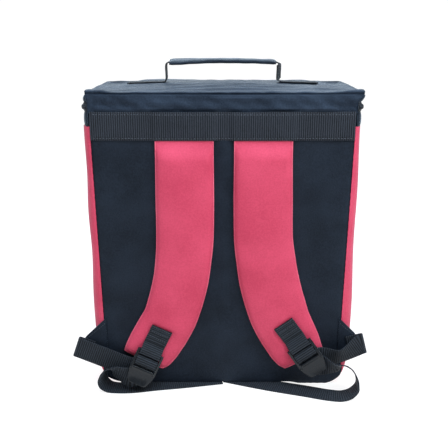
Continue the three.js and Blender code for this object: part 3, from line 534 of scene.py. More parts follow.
# %% Face panels
def face_panel(name, facing, top, seed):
    """y = facing * (half depth + crown + waves - seam dip), over rows at the seam's heights."""
    rows = outline_down(top, straight=110, corner=30)
    x0, z0, nx, nz, inset = rows.T
    inward = inset + tail_lift(facing * HALF_DEPTH) * nz**2
    inward = inward - COVER * corner_low(z0) * (facing < 0)
    half = (x0 - nx * inward - GAP)[:, None]
    z = (z0 - nz * (inward + GAP))[:, None]
    ends = 1 - np.geomspace(0.001, 1, 26) + 0.001
    share = np.unique(np.concatenate([-ends, [0], ends, np.linspace(-0.95, 0.95, 90)]))
    x = share * half
    from_side = half - np.abs(x)
    from_top = top - z
    from_base = z - z[-1]
    z = z - SETTLE * nz[:, None] ** 2 * settled(x, facing * HALF_DEPTH + 0 * x)
    from_seam = np.minimum(np.minimum(from_side, from_top), from_base)
    near = 1 - smooth(from_seam / SEAM_RUN)
    along = np.where(from_side < np.minimum(from_top, from_base), z, x)
    pucker = 0.00022 * np.sin(along / 0.011 * 2 * np.pi + 2 * ripples(x, z, 0.08, seed + 2))
    waves = 0.0006 * ripples(x, z, 0.13, seed) + 0.0002 * ripples(x, z, 0.035, seed + 1)
    between = hump(x, STRAP_SHIFT, 0.009) * smooth((z - 0.06) / 0.1) if facing < 0 else 0
    beside = smooth((np.abs(x) - 0.1) / 0.03) if facing < 0 else 1
    crown = swell(x, z) + 0.0016 * between + waves * np.maximum(beside, between) - 0.0002
    proud = crown * smooth(from_seam / 0.012) + pucker * (1 - smooth(from_seam / 0.016)) * beside
    dip = SEAM_DIP * near * lerp(0.3, 1, smooth((z - 0.03) / 0.05))
    outer = grid(x, facing * (HALF_DEPTH + proud - dip), z)
    inner = grid(x, facing * (HALF_DEPTH - WALL + 0.5 * swell(x, z)), z)
    return wall(name, outer, inner, grid(x, z))


finish_piece(face_panel("back", -1, BACK_TOP, 21), BLACK_CLOTH, "black_cloth", "back_panel", fill=0.5)
finish_piece(face_panel("front", 1, PANEL_TOP, 31), RED_CLOTH, "red_cloth", "front_panel", fill=0.6)


# %% [markdown]
# ## Rim, zip and lid skirt
# Three narrow strips run round the sides and the front: the black rim, the zip on its tape, and the lid's
# skirt. They all follow one plan, two long sides with rounded corners, carried up through a few heights.

# %% Plan of the strips
LID_OVERHANG, LID_REACH, LID_SHIFT, LID_INSET = 0.001, 0.0015, 0.0027, 0.003


def plan(half_width, half_depth, inset, corner, shift, per_side=90):
    """From the back seam round the left side, the front and the right side, as x and y."""
    angle = np.linspace(np.pi / 2, 0, 9)
    x = half_width - inset * (1 - np.cos(angle))
    y = half_depth - corner + corner * np.sin(angle)
    left = np.linspace(-y[-1], y[-1], per_side)[1:-1]
    left_x = np.concatenate([-x, left * 0 - x[-1], -x[::-1]])
    left_y = np.concatenate([-y, left, y[::-1]])
    front = np.linspace(left_x[-1], -left_x[-1], 2 * per_side)[1:-1]
    return (
        np.concatenate([left_x, front, -left_x[::-1]]) + shift,
        np.concatenate([left_y, front * 0 + left_y[-1], left_y[::-1]]),
    )


def turned_out(vectors, places):
    """The vectors, each turned round where it points towards the bag's middle in plan."""
    return vectors * np.where((vectors * places)[:, :2].sum(1) < 0, -1, 1)[:, None]


def strip(name, heights, leans, prouds, thick, seed, wave=0.0004):
    """A strip on the plan: each row leans from the body's outline to the lid's and stands proud of it."""

    def ring(lean, out):
        return plan(
            lerp(HALF_WIDTH, HALF_WIDTH + LID_OVERHANG, lean) + out,
            lerp(HALF_DEPTH, HALF_DEPTH + LID_REACH, lean) + out,
            lerp(INSET_TOP, LID_INSET, lean) + out,
            CORNER_DEPTH + out,
            LID_SHIFT * lean,
        )

    outer, inner, uv = [], [], []
    for z, lean, proud in zip(heights, leans, prouds):
        x, y = ring(lean, proud)
        place = np.stack([x, y], -1)
        run = length_run(place)
        outward = turned_out(np.stack([np.gradient(y, run), -np.gradient(x, run)], -1), place)
        amount = wave * ripples(run, run * 0 + z, 0.03, seed)[:, None]
        amount *= smooth(np.minimum(run, run[-1] - run) / 0.02)[:, None]
        outer.append(np.column_stack([place + outward * amount, x * 0 + z]))
        inner.append(grid(*ring(lean, -thick), z))
        uv.append(grid(run, z))
    return wall(name, np.array(outer), np.array(inner), np.array(uv))


# %% Rim, tape and skirt
edge_puff = np.array([-0.0006, 0.0004, 0.0009, 0.0011, 0.0012, 0.0011, 0.0009, 0.0003, -0.0006])
rim_z = np.linspace(RIM_BOTTOM, RIM_TOP, 9)
rim = strip("rim", rim_z, rim_z * 0, edge_puff * 0.7, WALL, 41)
finish_piece(rim, BLACK_CLOTH, "black_cloth", "rim_band", fill=0.4)

ZIP_TOP, ZIP_BOTTOM = 0.4128, 0.4008
ZIP_MIDDLE = (ZIP_TOP + ZIP_BOTTOM) / 2
beside_coil = ZIP_MIDDLE + np.array([-0.003, -0.0024, 0.0024, 0.003])
tape_z = np.concatenate([[ZIP_BOTTOM], beside_coil, [ZIP_TOP]])
tape_proud = np.array([-0.0004, 0.0014, 0.0019, 0.0019, 0.0014, -0.0004])
tape = strip("zip_tape_cloth", tape_z, tape_z * 0, tape_proud, 0.0016, 43, 0.0001)
finish_piece(tape, WEBBING, "webbing", "zip_tape")

skirt_z = np.linspace(ZIP_TOP + GAP, LID_BOTTOM - GAP, 7)
skirt_puff = np.array([-0.0004, 0.0005, 0.0009, 0.001, 0.0009, 0.0004, -0.0006])
skirt = strip("skirt", skirt_z, np.linspace(0, 1, 7), skirt_puff, 0.005, 45)
finish_piece(skirt, BLACK_CLOTH, "black_cloth", "lid_skirt", fill=0.3)


# %% [markdown]
# The zip itself is a nylon coil, which reads as a row of close cross teeth. One tooth is a small squashed
# ball. It is worked out once, and copies are set along the plan by adding arrays, a few dozen faces each.

# %% Many small copies
def ball(rows=6, columns=8):
    """Unit ball as a closed grid: rows from pole to pole, columns round it."""
    up = np.linspace(-np.pi / 2, np.pi / 2, rows)[:, None]
    round_ = np.linspace(0, 2 * np.pi, columns, endpoint=False)[None]
    shape = grid(np.cos(up) * np.cos(round_), np.cos(up) * np.sin(round_), np.sin(up))
    return shape.reshape(-1, 3), grid_faces(rows, columns, closed=True)


def scatter_balls(name, centres, along, out, radii):
    """A copy of the ball at each centre, radii long in the directions along, out x along, and out."""
    shape, faces = ball()
    third = np.cross(out, along)
    axes = np.stack([along * radii[0], third * radii[1], out * radii[2]], 1)
    points = centres[:, None] + np.einsum("pk,nkc->npc", shape, axes)
    count = len(shape)
    all_faces = (faces[None] + count * np.arange(len(centres))[:, None, None]).reshape(-1, 4)
    return mesh_object(name, points, all_faces, np.zeros((points.size // 3, 2)), sharp=180)


def even_stations(points, spacing):
    """Places and directions at even spacing along a line of points."""
    run = length_run(points)
    count = max(2, int(run[-1] / spacing))
    at = (np.arange(count) + 0.5) * run[-1] / count
    places, ahead, behind = (at_lengths(at + step, run, points) for step in (0, 0.0005, -0.0005))
    return places, unit(ahead - behind)


COIL_PITCH, COIL_PROUD = 0.0016, 0.002
x, y = plan(HALF_WIDTH + COIL_PROUD, HALF_DEPTH + COIL_PROUD, INSET_TOP, CORNER_DEPTH, 0)
places, heading = even_stations(grid(x, y, ZIP_MIDDLE), COIL_PITCH)
outward = turned_out(np.cross(heading, [0, 0, 1.0]), places)
coil = scatter_balls("zip_coil_teeth", places, heading, outward, (0.00075, 0.0025, 0.0009))
finish_piece(coil, ZIP_COIL, "webbing")


# %% [markdown]
# ## Lid
# The lid is a foam pad in the same black cloth, given a lighter copy of its colour as painted light for the
# light it catches from above. Its edge rolls over into the seam, its middle domes up, and it droops a
# little towards its ends. At the back edge the seam pulls in, so a dark crease runs above the hinge, and
# the two near corners stand up in little ears where the seam allowance bunches.

# %% Lid shape
LID_HALF_WIDTH, LID_HALF_DEPTH = HALF_WIDTH + LID_OVERHANG, HALF_DEPTH + LID_REACH
LID_ROLL, LID_ROLL_RUN, LID_DOME, LID_FULLNESS, LID_PAD = 0.003, 0.009, 0.0055, 0.8, 0.008


def lid_half(y):
    """Half width of the lid in plan at depth y, with its rounded corners."""
    into = clamp((np.abs(y) - (LID_HALF_DEPTH - CORNER_DEPTH)) / CORNER_DEPTH)
    return LID_HALF_WIDTH - LID_INSET * (1 - np.sqrt(1 - into**2))


def lid_top(x, y):
    """Seam height plus a quarter circle in from the edge plus a dome; x is from the lid's own middle."""
    from_edge = np.minimum(lid_half(y) - np.abs(x), LID_HALF_DEPTH - np.abs(y))
    into = clamp(from_edge / LID_ROLL_RUN)
    dome = clamp(1 - (x / LID_HALF_WIDTH) ** 2) * clamp(1 - (y / LID_HALF_DEPTH) ** 2)
    return SEAM_HEIGHT + LID_ROLL * np.sqrt(1 - (1 - into) ** 2) + LID_DOME * dome**LID_FULLNESS


def gape(x):
    """Where the crease above the hinge opens widest, a little right of the middle."""
    return hump(x, 0.018, 0.034)


# %% Lid panel
lid_y = (LID_HALF_DEPTH * eased(101))[:, None]
lid_x = lid_half(lid_y) * eased(151)
from_edge = np.minimum(lid_half(lid_y) - np.abs(lid_x), LID_HALF_DEPTH - np.abs(lid_y))
into = clamp(from_edge / LID_ROLL_RUN)
height = lid_top(lid_x, lid_y) + LID_ROLL * (np.sin(np.pi / 2 * into) - np.sqrt(1 - (1 - into) ** 2))
inside = smooth((from_edge - 0.004) / 0.02)
soft = 0.0006 * ripples(lid_x, lid_y * 1.6, 0.15, 51) + 0.0002 * ripples(lid_x, lid_y, 0.03, 52)
folds = 0.0008 * ripples(lid_x * 0.16, lid_y, 0.024, 54) * (1 - smooth((lid_y + 0.01) / 0.06))
corner_run = np.hypot(lid_half(lid_y) - np.abs(lid_x), lid_y + LID_HALF_DEPTH)
rounded = np.sqrt(1 - (1 - clamp(from_edge / 0.007)) ** 2)
ears = 0.0028 * hump(np.maximum(corner_run - 0.02, 0), 0, 0.01) * rounded
sloped = 0.003 * smooth((np.abs(lid_x) - 0.115) / 0.06) * smooth((lid_y + 0.01) / 0.08)
lip = 0.0008 * hump(from_edge, 0.0025, 0.0018) - 0.0009 * hump(from_edge, 0.012, 0.005)
bumps = 0.0003 * smooth(from_edge / 0.003) * ripples(lid_x, lid_y, 0.03, 53)
at_sides = smooth((np.abs(lid_x) - 0.12) / 0.055)
droop = 0.0034 * smooth(from_edge / 0.009) * at_sides * smooth((lid_y + 0.092) / 0.045)
height = height + inside * (soft + folds - sloped) + ears + lip - droop + bumps * (1 - inside)
side_edge = lid_half(lid_y) - np.abs(lid_x) < LID_HALF_DEPTH - np.abs(lid_y)
bulge = 0.0009 * np.sin(np.pi * into)
tuck = 0.0021 * (1 + 0.8 * gape(lid_x)) * (1 - smooth(from_edge / 0.0013))
slide = np.where(from_edge < LID_ROLL_RUN, bulge - tuck, 0)
moved_x = lid_x + np.sign(lid_x) * slide * side_edge
moved_y = lid_y + np.sign(lid_y) * slide * ~side_edge
outer = grid(moved_x + LID_SHIFT, moved_y, height)
tucked_x = lid_x - np.sign(lid_x) * tuck * side_edge
tucked_y = lid_y - np.sign(lid_y) * tuck * ~side_edge
under_lid = np.maximum(LID_BOTTOM, lid_top(lid_x, lid_y) - LID_PAD)
lid = wall("lid", outer, grid(tucked_x + LID_SHIFT, tucked_y, under_lid), grid(lid_x, lid_y))
finish_piece(lid, BLACK_CLOTH_PAINTED_LIGHTER, "black_cloth", "lid_panel", fill=0.5)

# %% [markdown]
# The hinge is the unzipped fourth side, a soft strip between the lid's back edge and the top of the back
# panel. It bellies out in soft folds, and tucks under the wide webbing at its lower edge and the lid's lip
# at its upper.

# %% Hinge strip
HINGE_LIP, HINGE_WALL = 0.4236, 0.004
BELLY_HEIGHTS = [0.3988, 0.4013, 0.405, 0.4131, 0.4196, 0.4221, 0.423, HINGE_LIP]
BELLY_SHARES = [0, 0.15, 1, 0.95, 0.66, 0.55, 0.4, -0.1]
t = np.linspace(0, 1, 48)[:, None]
share = eased(150, 1.6)[None]
hinge_z = lerp(BACK_TOP + GAP, HINGE_LIP, t)
lean = smooth((hinge_z - 0.4131) / 0.009)
half = lerp(HALF_WIDTH - INSET_TOP, LID_HALF_WIDTH - LID_INSET, lean) - GAP
x = share * half + LID_SHIFT * lean
belly = np.interp(hinge_z, BELLY_HEIGHTS, BELLY_SHARES)
gathers = 0.0004 * np.sin(x / 0.013 * 2 * np.pi) * smooth((np.abs(x) - 0.1) / 0.05)
folds = 0.0013 * ripples(x + 1.5 * hinge_z, hinge_z * 2, 0.042, 61) + gathers
crease = 0.0012 * gape(x) * smooth((hinge_z - 0.4185) / 0.003)
out = belly * (0.0024 * (1 - share**6) + folds * smooth((1 - np.abs(share)) / 0.04)) - crease
reach = 0.6 * LID_REACH * smooth((hinge_z - 0.41) / 0.01)
hinge_inner_y = lerp(HINGE_WALL - HALF_DEPTH - 0.5 * out, -HALF_DEPTH, smooth((hinge_z - 0.4209) / 0.001))
hinge_outer = grid(x, -HALF_DEPTH - reach - out, hinge_z)
hinge = wall("hinge", hinge_outer, grid(x, hinge_inner_y, hinge_z), grid(x, hinge_z))
# painted light: the hinge wears the lighter copy of the black cloth, for the light its top catches from above
finish_piece(hinge, BLACK_CLOTH_PAINTED_LIGHTER, "black_cloth", "hinge_panel", fill=0.2)


# %% [markdown]
# ## Webbing across the back
# A wide ribbed webbing is sewn across the top of the back, over the heads of both straps. Its ribs stand
# upright and are modelled, not painted, because they catch the light. It steps up over each strap head.

# %% Back webbing
def strap_centre(side):
    """Middle of a strap's head in x."""
    return side * STRAP_SPACING / 2 + STRAP_SHIFT


def band_lift(x):
    """How far the webbing stands off the panel: the strap head's thickness over it, easing down beside it."""
    beside = np.minimum(*(np.abs(x - strap_centre(side)) for side in SIDES.values())) - STRAP_HALF
    return (STRAP_HEAD + GAP) * (1 - smooth(beside / 0.008))


x = np.linspace(-BAND_HALF, BAND_HALF, 881)[None]
t = np.linspace(0, 1, 17)[:, None]
z = lerp(BAND_TOP, BAND_BOTTOM, t) + 0.0004 * ripples(x, t * 0, 0.07, 71) * (t < 1)
selvedge = smooth(np.minimum(t, 1 - t) / 0.09)
rib = np.abs(np.sin(np.pi * x / BAND_RIB)) * selvedge * (0.75 + 0.25 * ripples(x, z, 0.006, 72))
stitched = hump(t, 0.1, 0.035) + hump(t, 0.93, 0.03)
rest = -HALF_DEPTH - swell(x, z) - GAP - band_lift(x)
face = rest - BAND_THICK * (0.55 + 0.45 * selvedge) - 0.0005 * rib + 0.0005 * stitched
band = wall("back_band", grid(x, face, z), grid(x, rest, z), grid(x, z), sharp=70)
finish_piece(band, BAND_WEBBING, "webbing", "back_webbing")


# %% [markdown]
# ## Shoulder straps
# Each strap is foam in a red cloth tube, turned and sewn along both edges. It leaves the webbing thin,
# fills out, runs down and swings outwards. The flat shape comes from a short table of its course. Then
# Blender's cloth simulation blows the front up against its sewn edges, which gives real pillowing and small
# pulls that no formula gives. The back and the edges are pinned, and the movement is capped.

# %% Smooth curve through points
def knots_curve(points, per_knot):
    """Centripetal Catmull-Rom curve: each span's cubic uses the square roots of the distances."""
    points = np.asarray(points, float)
    first, last = 2 * points[0] - points[1], 2 * points[-1] - points[-2]
    p = np.concatenate([[first], points, [last]])
    d = np.maximum(np.linalg.norm(np.diff(p, axis=0), axis=1) ** 0.5, 1e-9)[:, None]
    p0, p1, p2, p3 = p[:-3], p[1:-2], p[2:-1], p[3:]
    d0, d1, d2 = d[:-2], d[1:-1], d[2:]
    leave = ((p1 - p0) / d0 - (p2 - p0) / (d0 + d1) + (p2 - p1) / d1) * d1
    arrive = ((p2 - p1) / d1 - (p3 - p1) / (d1 + d2) + (p3 - p2) / d2) * d1
    t = (np.arange(per_knot) / per_knot)[None, :, None]
    a, b, m, n = (v[:, None] for v in (p1, p2, leave, arrive))
    body = a + m * t + (3 * (b - a) - 2 * m - n) * t**2 + (2 * (a - b) + m + n) * t**3
    return np.concatenate([body.reshape(-1, points.shape[1]), points[-1:]])


# %% Strap course
STRAP_TUCK, STRAP_DROP, STRAP_SWAY, STRAP_SWELL_RUN = 0.024, 0.347, 0.0615, 0.026
# shares of the drop, the sway, the inner and the outer half width, and the right strap's extra outer share
STRAP_COURSE = np.array([
    (0.000, 0.000, 1.00, 1.00, 0.00),
    (0.070, 0.000, 1.00, 1.00, 0.00),
    (0.145, 0.000, 1.00, 1.00, 0.00),
    (0.300, 0.000, 1.01, 1.02, 0.02),
    (0.465, 0.010, 1.00, 1.02, 0.05),
    (0.551, 0.050, 0.98, 1.00, 0.12),
    (0.644, 0.125, 0.98, 0.99, 0.17),
    (0.757, 0.280, 0.95, 1.00, 0.19),
    (0.813, 0.400, 0.95, 0.98, 0.19),
    (0.869, 0.585, 0.98, 0.97, 0.11),
    (0.934, 0.795, 0.95, 0.96, 0.05),
    (0.975, 0.925, 0.87, 0.92, 0.00),
    (1.000, 1.000, 0.73, 0.88, 0.00),
])
PADDING_ACROSS = (-1, -0.93, -0.8, -0.5, 0.5, 0.8, 0.93, 1)
PADDING_FULL = (0.34, 0.66, 0.86, 1, 1, 0.86, 0.66, 0.34)


def strap_stations(side, per_knot=9):
    """Centre, direction and the two half widths along a strap's course, evenly spaced."""
    head = BAND_BOTTOM + STRAP_TUCK
    centre = np.column_stack([STRAP_SWAY * STRAP_COURSE[:, 1], head - STRAP_DROP * STRAP_COURSE[:, 0]])
    line = knots_curve(centre, per_knot)
    widths = STRAP_COURSE[:, 2:4] + np.array([0, 1])[None] * STRAP_COURSE[:, 4:] * (side > 0)
    knots = np.arange(len(STRAP_COURSE))
    at = np.arange(len(line)) / per_knot
    inner, outer = (STRAP_HALF * np.interp(at, knots, widths[:, k]) for k in (0, 1))
    run = length_run(line)
    even = np.linspace(0, run[-1], 88)
    line = at_lengths(even, run, line)
    heading = unit(np.gradient(line, axis=0))
    return line, heading, np.interp(even, run, inner), np.interp(even, run, outer), even


def strap_grid(side, lift, columns=21, draw_in=0.0):
    """Points over a strap's front (lift 1) or back (lift 0): its course, spread across, at its height."""
    line, heading, inner, outer, run = strap_stations(side)
    across = eased(columns, 1.5)
    half = np.where(across < 0, inner[:, None], outer[:, None]) - draw_in
    x = strap_centre(side) + side * (line[:, :1] - heading[:, 1:] * across * half)
    z = line[:, 1:] + heading[:, :1] * across * half
    filled = smooth((BAND_BOTTOM - line[:, 1:]) / STRAP_SWELL_RUN)
    full = np.interp(across, PADDING_ACROSS, PADDING_FULL)
    end = smooth((run[-1] - run[:, None]) / 0.008)
    thick = lerp(STRAP_HEAD, STRAP_THICK * full * lerp(0.4, 1, end), filled)
    y = -HALF_DEPTH - swell(x, z) - GAP - thick * lift
    return grid(x, y, z), grid(x, z), filled, across


# %% [markdown]
# The buckles lie on the straps' lower ends. The padding that they press in, their webbing and the buckles
# themselves all need to know where, so each buckle's place, lean and tilt come first, as three axes: along
# its webbing, across it, and out of the strap.

# %% Where the buckles lie
OUT, UP = np.array([0, -1.0, 0]), np.array([0, 0, 1.0])
BAR, SLOT_UPPER, SLOT_LOWER, LOCK_THICK = 0.006, 0.0085, 0.007, 0.004
LOCK_LIFT, TAIL_SPAN = 0.0036, 0.184
PATCH_X, PATCH_Z, PATCH_LENGTH = 0.086, 0.099, 0.038
WEB_BEND, WEB_TURN, WEB_SLACK, WEB_LIFT = 0.0022, 0.02, 0.0003, GAP + WEB_THICK / 2
WING_SEAM, WING_TOP, WING_DROP, WING_REACH, WING_THICK, WING_LEG = 0.07, 0.106, 0.042, 0.034, 0.0024, 0.022
MIDDLE_START = BAR + SLOT_UPPER
MIDDLE_END = MIDDLE_START + BAR
TAB_START = MIDDLE_END + SLOT_LOWER
WING_BACK = HALF_DEPTH + 2 * GAP
BUCKLES = {
    "left": dict(
        side=-1, lean=math.radians(25.5), tilt=math.radians(11), rise=-0.13,
        reach=1.1, drop=1.03, sag=0, roll=0,
    ),
    "right": dict(
        side=1, lean=math.radians(36), tilt=math.radians(6), rise=0.13,
        reach=0.9, drop=0.9, sag=0.3, roll=0.55,
    ),
}


def lock_frame(buckle, tilted):
    """Axes of a buckle from its upper edge: along, across and out; at(a, n) is a along and n out."""
    side, lean = buckle["side"], buckle["lean"]
    down = np.array([side * math.sin(lean), 0, -math.cos(lean)])
    face = HALF_DEPTH + swell(PATCH_X, PATCH_Z) + GAP + STRAP_THICK
    origin = np.array([side * PATCH_X, -face, PATCH_Z + buckle["rise"] * WEB_WIDTH]) + down * PATCH_LENGTH
    tilt = buckle["tilt"] if tilted else 0
    along = down * math.cos(tilt) + OUT * math.sin(tilt)
    out = OUT * math.cos(tilt) - down * math.sin(tilt)
    if tilted:
        origin = origin + OUT * LOCK_LIFT
    return along, np.cross(along, out), out, lambda a, n: origin + along * a + out * n


# %% Inflate a strap with cloth
CLOTH_FRAMES, MOST_MOVE = 20, 0.005


def inflate(piece, pinned, pressure):
    """Runs Cloth on a piece with pressure inside and no gravity, and moves its points, at most MOST_MOVE."""
    group = piece.vertex_groups.new(name="pinned")
    for weight in np.unique(np.round(pinned, 2)):
        group.add(np.flatnonzero(np.round(pinned, 2) == weight).tolist(), float(weight), "REPLACE")
    modifier = piece.modifiers.new("cloth", "CLOTH")
    settings = modifier.settings
    settings.quality = 6
    settings.mass = 0.4
    settings.tension_stiffness = settings.compression_stiffness = 18
    settings.shear_stiffness = 6
    settings.bending_stiffness = 0.6
    settings.use_pressure = True
    settings.uniform_pressure_force = pressure
    settings.vertex_group_mass = "pinned"
    settings.effector_weights.gravity = 0
    modifier.collision_settings.use_collision = False
    scene = bpy.context.scene
    for step in range(1, CLOTH_FRAMES + 1):
        scene.frame_set(step)
    solved = piece.evaluated_get(bpy.context.evaluated_depsgraph_get())
    before = read_points(piece.data)
    move = read_points(solved.data) - before
    length = np.linalg.norm(move, axis=1)[:, None]
    move *= np.minimum(1, MOST_MOVE / np.maximum(length, 1e-9))
    piece.modifiers.remove(modifier)
    piece.vertex_groups.remove(group)
    scene.frame_set(1)
    write_points(piece.data, before + move)
    print(piece.name, "moved up to", round(float(length.max()) * 1000, 1), "mm")


# %% Press the padding in and make both straps
PRESSED = 0.0012  # the held padding lies this much deeper than the strap's own face


def press_in(piece, name):
    """Holds the padding down under the sewn webbing and the buckle, and lets it rise again around them."""
    along, across, _, at = lock_frame(BUCKLES[name], False)
    points = read_points(piece.data)
    down, beside = (points - at(0, 0)) @ along, np.abs((points - at(0, 0)) @ across)
    held = smooth((down + PATCH_LENGTH + 0.003) / 0.004) * (1 - smooth((down - 0.025) / 0.02))
    held *= 1 - smooth((beside - WEB_WIDTH / 2) / 0.007)
    level = at(0, 0)[1] + PRESSED
    y = points[:, 1]
    points[:, 1] = np.where((held > 0) & (y < level), lerp(y, level, held), y)
    write_points(piece.data, points)


for name, side in SIDES.items():
    front, uv, filled, across = strap_grid(side, 1)
    back, *_ = strap_grid(side, 0)
    z = front[..., 2]
    front[..., 1] -= 0.0005 * ripples(front[..., 0], z, 0.045, 81 + side) * (1 - across**2) * filled
    strap = wall(f"strap_{name}", front, back, uv, sharp=180)
    loose = filled * smooth((1 - np.abs(across)) / 0.25) * np.ones_like(z)
    loose *= smooth((z - z.min()) / 0.03)
    pinned = np.concatenate([(1 - loose).ravel(), np.ones(z.size)])
    inflate(strap, pinned, 3.0)
    press_in(strap, name)
    subdivision = strap.modifiers.new("subdivision", "SUBSURF")
    subdivision.levels = subdivision.render_levels = 1
    finish_piece(strap, RED_CLOTH, "red_cloth", f"shoulder_strap_{name}", fill=0.7)

# %% [markdown]
# The turned edge, where the cloth folds back on itself over the foam, is a narrow bead that follows the
# strap's border, with a row of stitches just inside it. The bead is a paler red than the cloth: a painted
# highlight for the light that the rolled edge catches.

# %% Beads and stitches
def tube(name, path, radius, around=8):
    """A closed round bead along a path: a circle in the plane across each direction, capped at both ends."""
    heading = unit(np.gradient(path, axis=0))
    first = unit(np.cross(heading, [0, 1.0, 0]))
    second = np.cross(heading, first)
    angle = np.linspace(0, 2 * np.pi, around, endpoint=False)[None, :, None]
    points = path[:, None] + radius * (np.cos(angle) * first[:, None] + np.sin(angle) * second[:, None])
    uv = grid(length_run(path)[:, None], angle[..., 0] * radius)
    ends = [range(around)[::-1], range((len(path) - 1) * around, len(path) * around)]
    return mesh_object(name, points, grid_faces(len(path), around, closed=True), uv, caps=ends, sharp=80)


def stitches(name, paths, outs, material, slot, length=0.0028, pitch=0.0042, thick=0.00032):
    """Short threads along paths, each a squashed ball with its long way along the seam."""
    centres, headings, normals = [], [], []
    for path, out in zip(paths, outs):
        places, heading = even_stations(np.asarray(path, float), pitch)
        normal = square_to(np.broadcast_to(np.asarray(out, float), places.shape), heading)
        centres.append(places + normal * thick * 0.4)
        headings.append(heading)
        normals.append(normal)
    rows = map(np.concatenate, (centres, headings, normals))
    return finish_piece(scatter_balls(name, *rows, (length / 2, thick * 1.3, thick)), material, slot)


FRONT = (0, -1, 0)
for name, side in SIDES.items():
    solid, _, filled, _ = strap_grid(side, 0.5)
    start = np.flatnonzero(filled[:, 0] > 0)[0]
    outline = np.concatenate([solid[start:, 0], solid[-1, 1:-1], solid[start:, -1][::-1]])
    outline[:, 1] -= 0.0012
    bead = tube(f"strap_edge_{name}", outline, 0.0009)
    finish_piece(bead, RED_CLOTH_PAINTED_HIGHLIGHT, "red_cloth")
    near, *_ = strap_grid(side, 1, draw_in=0.0045)
    rows = np.flatnonzero(filled[:, 0] > 0.15)
    lines = [near[rows[0]:-2, 0], near[rows[0]:-2, -1]]
    stitches(f"strap_stitches_{name}", lines, [FRONT, FRONT], RED_THREAD, "red_cloth")

# %% [markdown]
# ## Adjusters
# One webbing on each side is sewn to a cloth wing, folds over outside it, crosses to the ladder-lock
# buckle, weaves round its middle bar, and leaves behind the tab as a loose tail that twists over and lies
# under the bag. It is a ribbon carried along a smooth curve with its own width direction at each knot, the
# same knots as the CAD solid's, with cross ribs as relief.

# %% Ribbon along knots
def ribbon(name, knots, wides, width, thick, rib, relief=0.00042, ends=8, hem=None):
    """Rounded flat section carried along a curve; its faces ripple by |sin(pi s / rib)| along the length s.

    hem lists heights at places along s, which thicken the face that looks away from heading x wide.
    """
    per_knot = 24
    line = knots_curve(knots, per_knot)
    wides = np.asarray(wides, float)
    at = np.arange(len(line)) / per_knot
    first = np.minimum(at.astype(int), len(knots) - 2)
    share = smooth(at - first)[:, None]
    wide = lerp(wides[first], wides[first + 1], share)
    run = length_run(line)
    s = np.linspace(0, run[-1], int(run[-1] / (rib / 5)))
    line, wide = (at_lengths(s, run, values) for values in (line, wide))
    heading = unit(np.gradient(line, axis=0))
    wide = square_to(wide, heading)
    normal = np.cross(heading, wide)
    flat = np.linspace(1, -1, 9)[1:-1] * (width / 2 - thick / 2)
    angle = np.linspace(-np.pi / 2, np.pi / 2, ends)
    end = grid(width / 2 - thick / 2 + np.cos(angle) * thick / 2, np.sin(angle) * thick / 2)
    top = grid(flat, thick / 2)
    section = np.concatenate([end, top, -end, -top])
    faces_out = np.sign(section[:, 1]) * (np.abs(section[:, 0]) < width / 2 - thick)
    ripple = relief * (np.abs(np.sin(np.pi * s / rib))[:, None] - 1) * faces_out
    points = (
        line[:, None]
        + section[None, :, :1] * wide[:, None]
        + (section[None, :, 1] + ripple)[..., None] * normal[:, None]
    )
    if hem is not None:
        proud = np.interp(s, *hem)[:, None] * (section[:, 1] < 0)
        points = points - proud[..., None] * normal[:, None]
    count = len(section)
    uv = grid(s[:, None], section[None, :, 0])
    caps = [range(count)[::-1], range((len(s) - 1) * count, len(s) * count)]
    print(name, "is", round(float(run[-1]) * 1000), "mm long")
    return mesh_object(name, points, grid_faces(len(s), count, closed=True), uv, caps=caps, sharp=60)


# %% Course of the loose tails
# out in tail spans, near and up in webbing widths, and the direction of the outer edge
TAILS = {
    "left": np.array([
        (0.83, 0.65, 0.93, -0.1, 0.5, 0.86), (0.89, 0.6, 1.05, -0.16, 0.87, 0.47),
        (0.932, 0.57, 0.94, 0.1, 0.97, 0.2), (0.95, 0.55, 0.66, 0.25, 0.96, 0),
        (0.945, 0.5, 0.36, 0.25, 0.96, 0), (0.915, 0.47, 0.12, 0.18, 0.98, 0),
        (0.87, 0.46, 0, 0.08, 1, 0), (0.73, 0.48, 0, -0.05, 1, 0), (0.54, 0.25, 0, -0.16, 1, 0),
        (0.32, 0.01, 0, -0.18, 1, 0), (0.013, -0.38, 0, -0.2, 1, 0),
    ]),
    "right": np.array([
        (0.875, 0.78, 1.25, -0.1, 0.6, 0.8), (0.935, 0.82, 1.38, -0.17, 0.87, 0.47),
        (1.0, 0.9, 1.24, -0.1, 0.9, 0.4), (1.045, 1.03, 0.84, -0.05, 0.98, 0.2),
        (1.045, 1.14, 0.42, -0.06, 1, 0), (1.0, 1.22, 0.13, -0.1, 1, 0),
        (0.93, 1.26, 0, -0.18, 1, 0), (0.83, 1.18, 0, -0.26, 1, 0), (0.66, 0.83, 0, -0.32, 1, 0),
        (0.38, 0.27, 0, -0.34, 1, 0), (0.034, -0.55, 0, -0.36, 1, 0),
    ]),
}


# %% Course of the adjusters and buckle loops
def round_bar(at, start, end, clearance):
    """Points of webbing round a crossbar from its back (rising) over its front."""
    corners = [(start, 0, 180)] + [(start, LOCK_THICK, d) for d in (180, 135, 90)]
    corners += [(end, LOCK_THICK, d) for d in (90, 45, 0)] + [(end, 0, 0)]
    return [
        at(a + clearance * math.cos(math.radians(d)), n + clearance * math.sin(math.radians(d)))
        for a, n, d in corners
    ]


def swing_knots(end, to_centre, start_radial):
    """A quarter turn of webbing in its own plane that ends at end, its width always towards the centre."""
    centre = end + to_centre * WEB_TURN
    radials = [lerp(start_radial, -to_centre, share) for share in np.linspace(0, 1, 5)]
    radials = [r / np.linalg.norm(r) for r in radials]
    return [(centre + r * WEB_TURN, -r) for r in radials]


def fold_place(buckle):
    """Where the webbing folds over outside the wing."""
    z = WING_TOP - WING_DROP * buckle["drop"]
    return seam_half(z) + WING_REACH * buckle["reach"], z


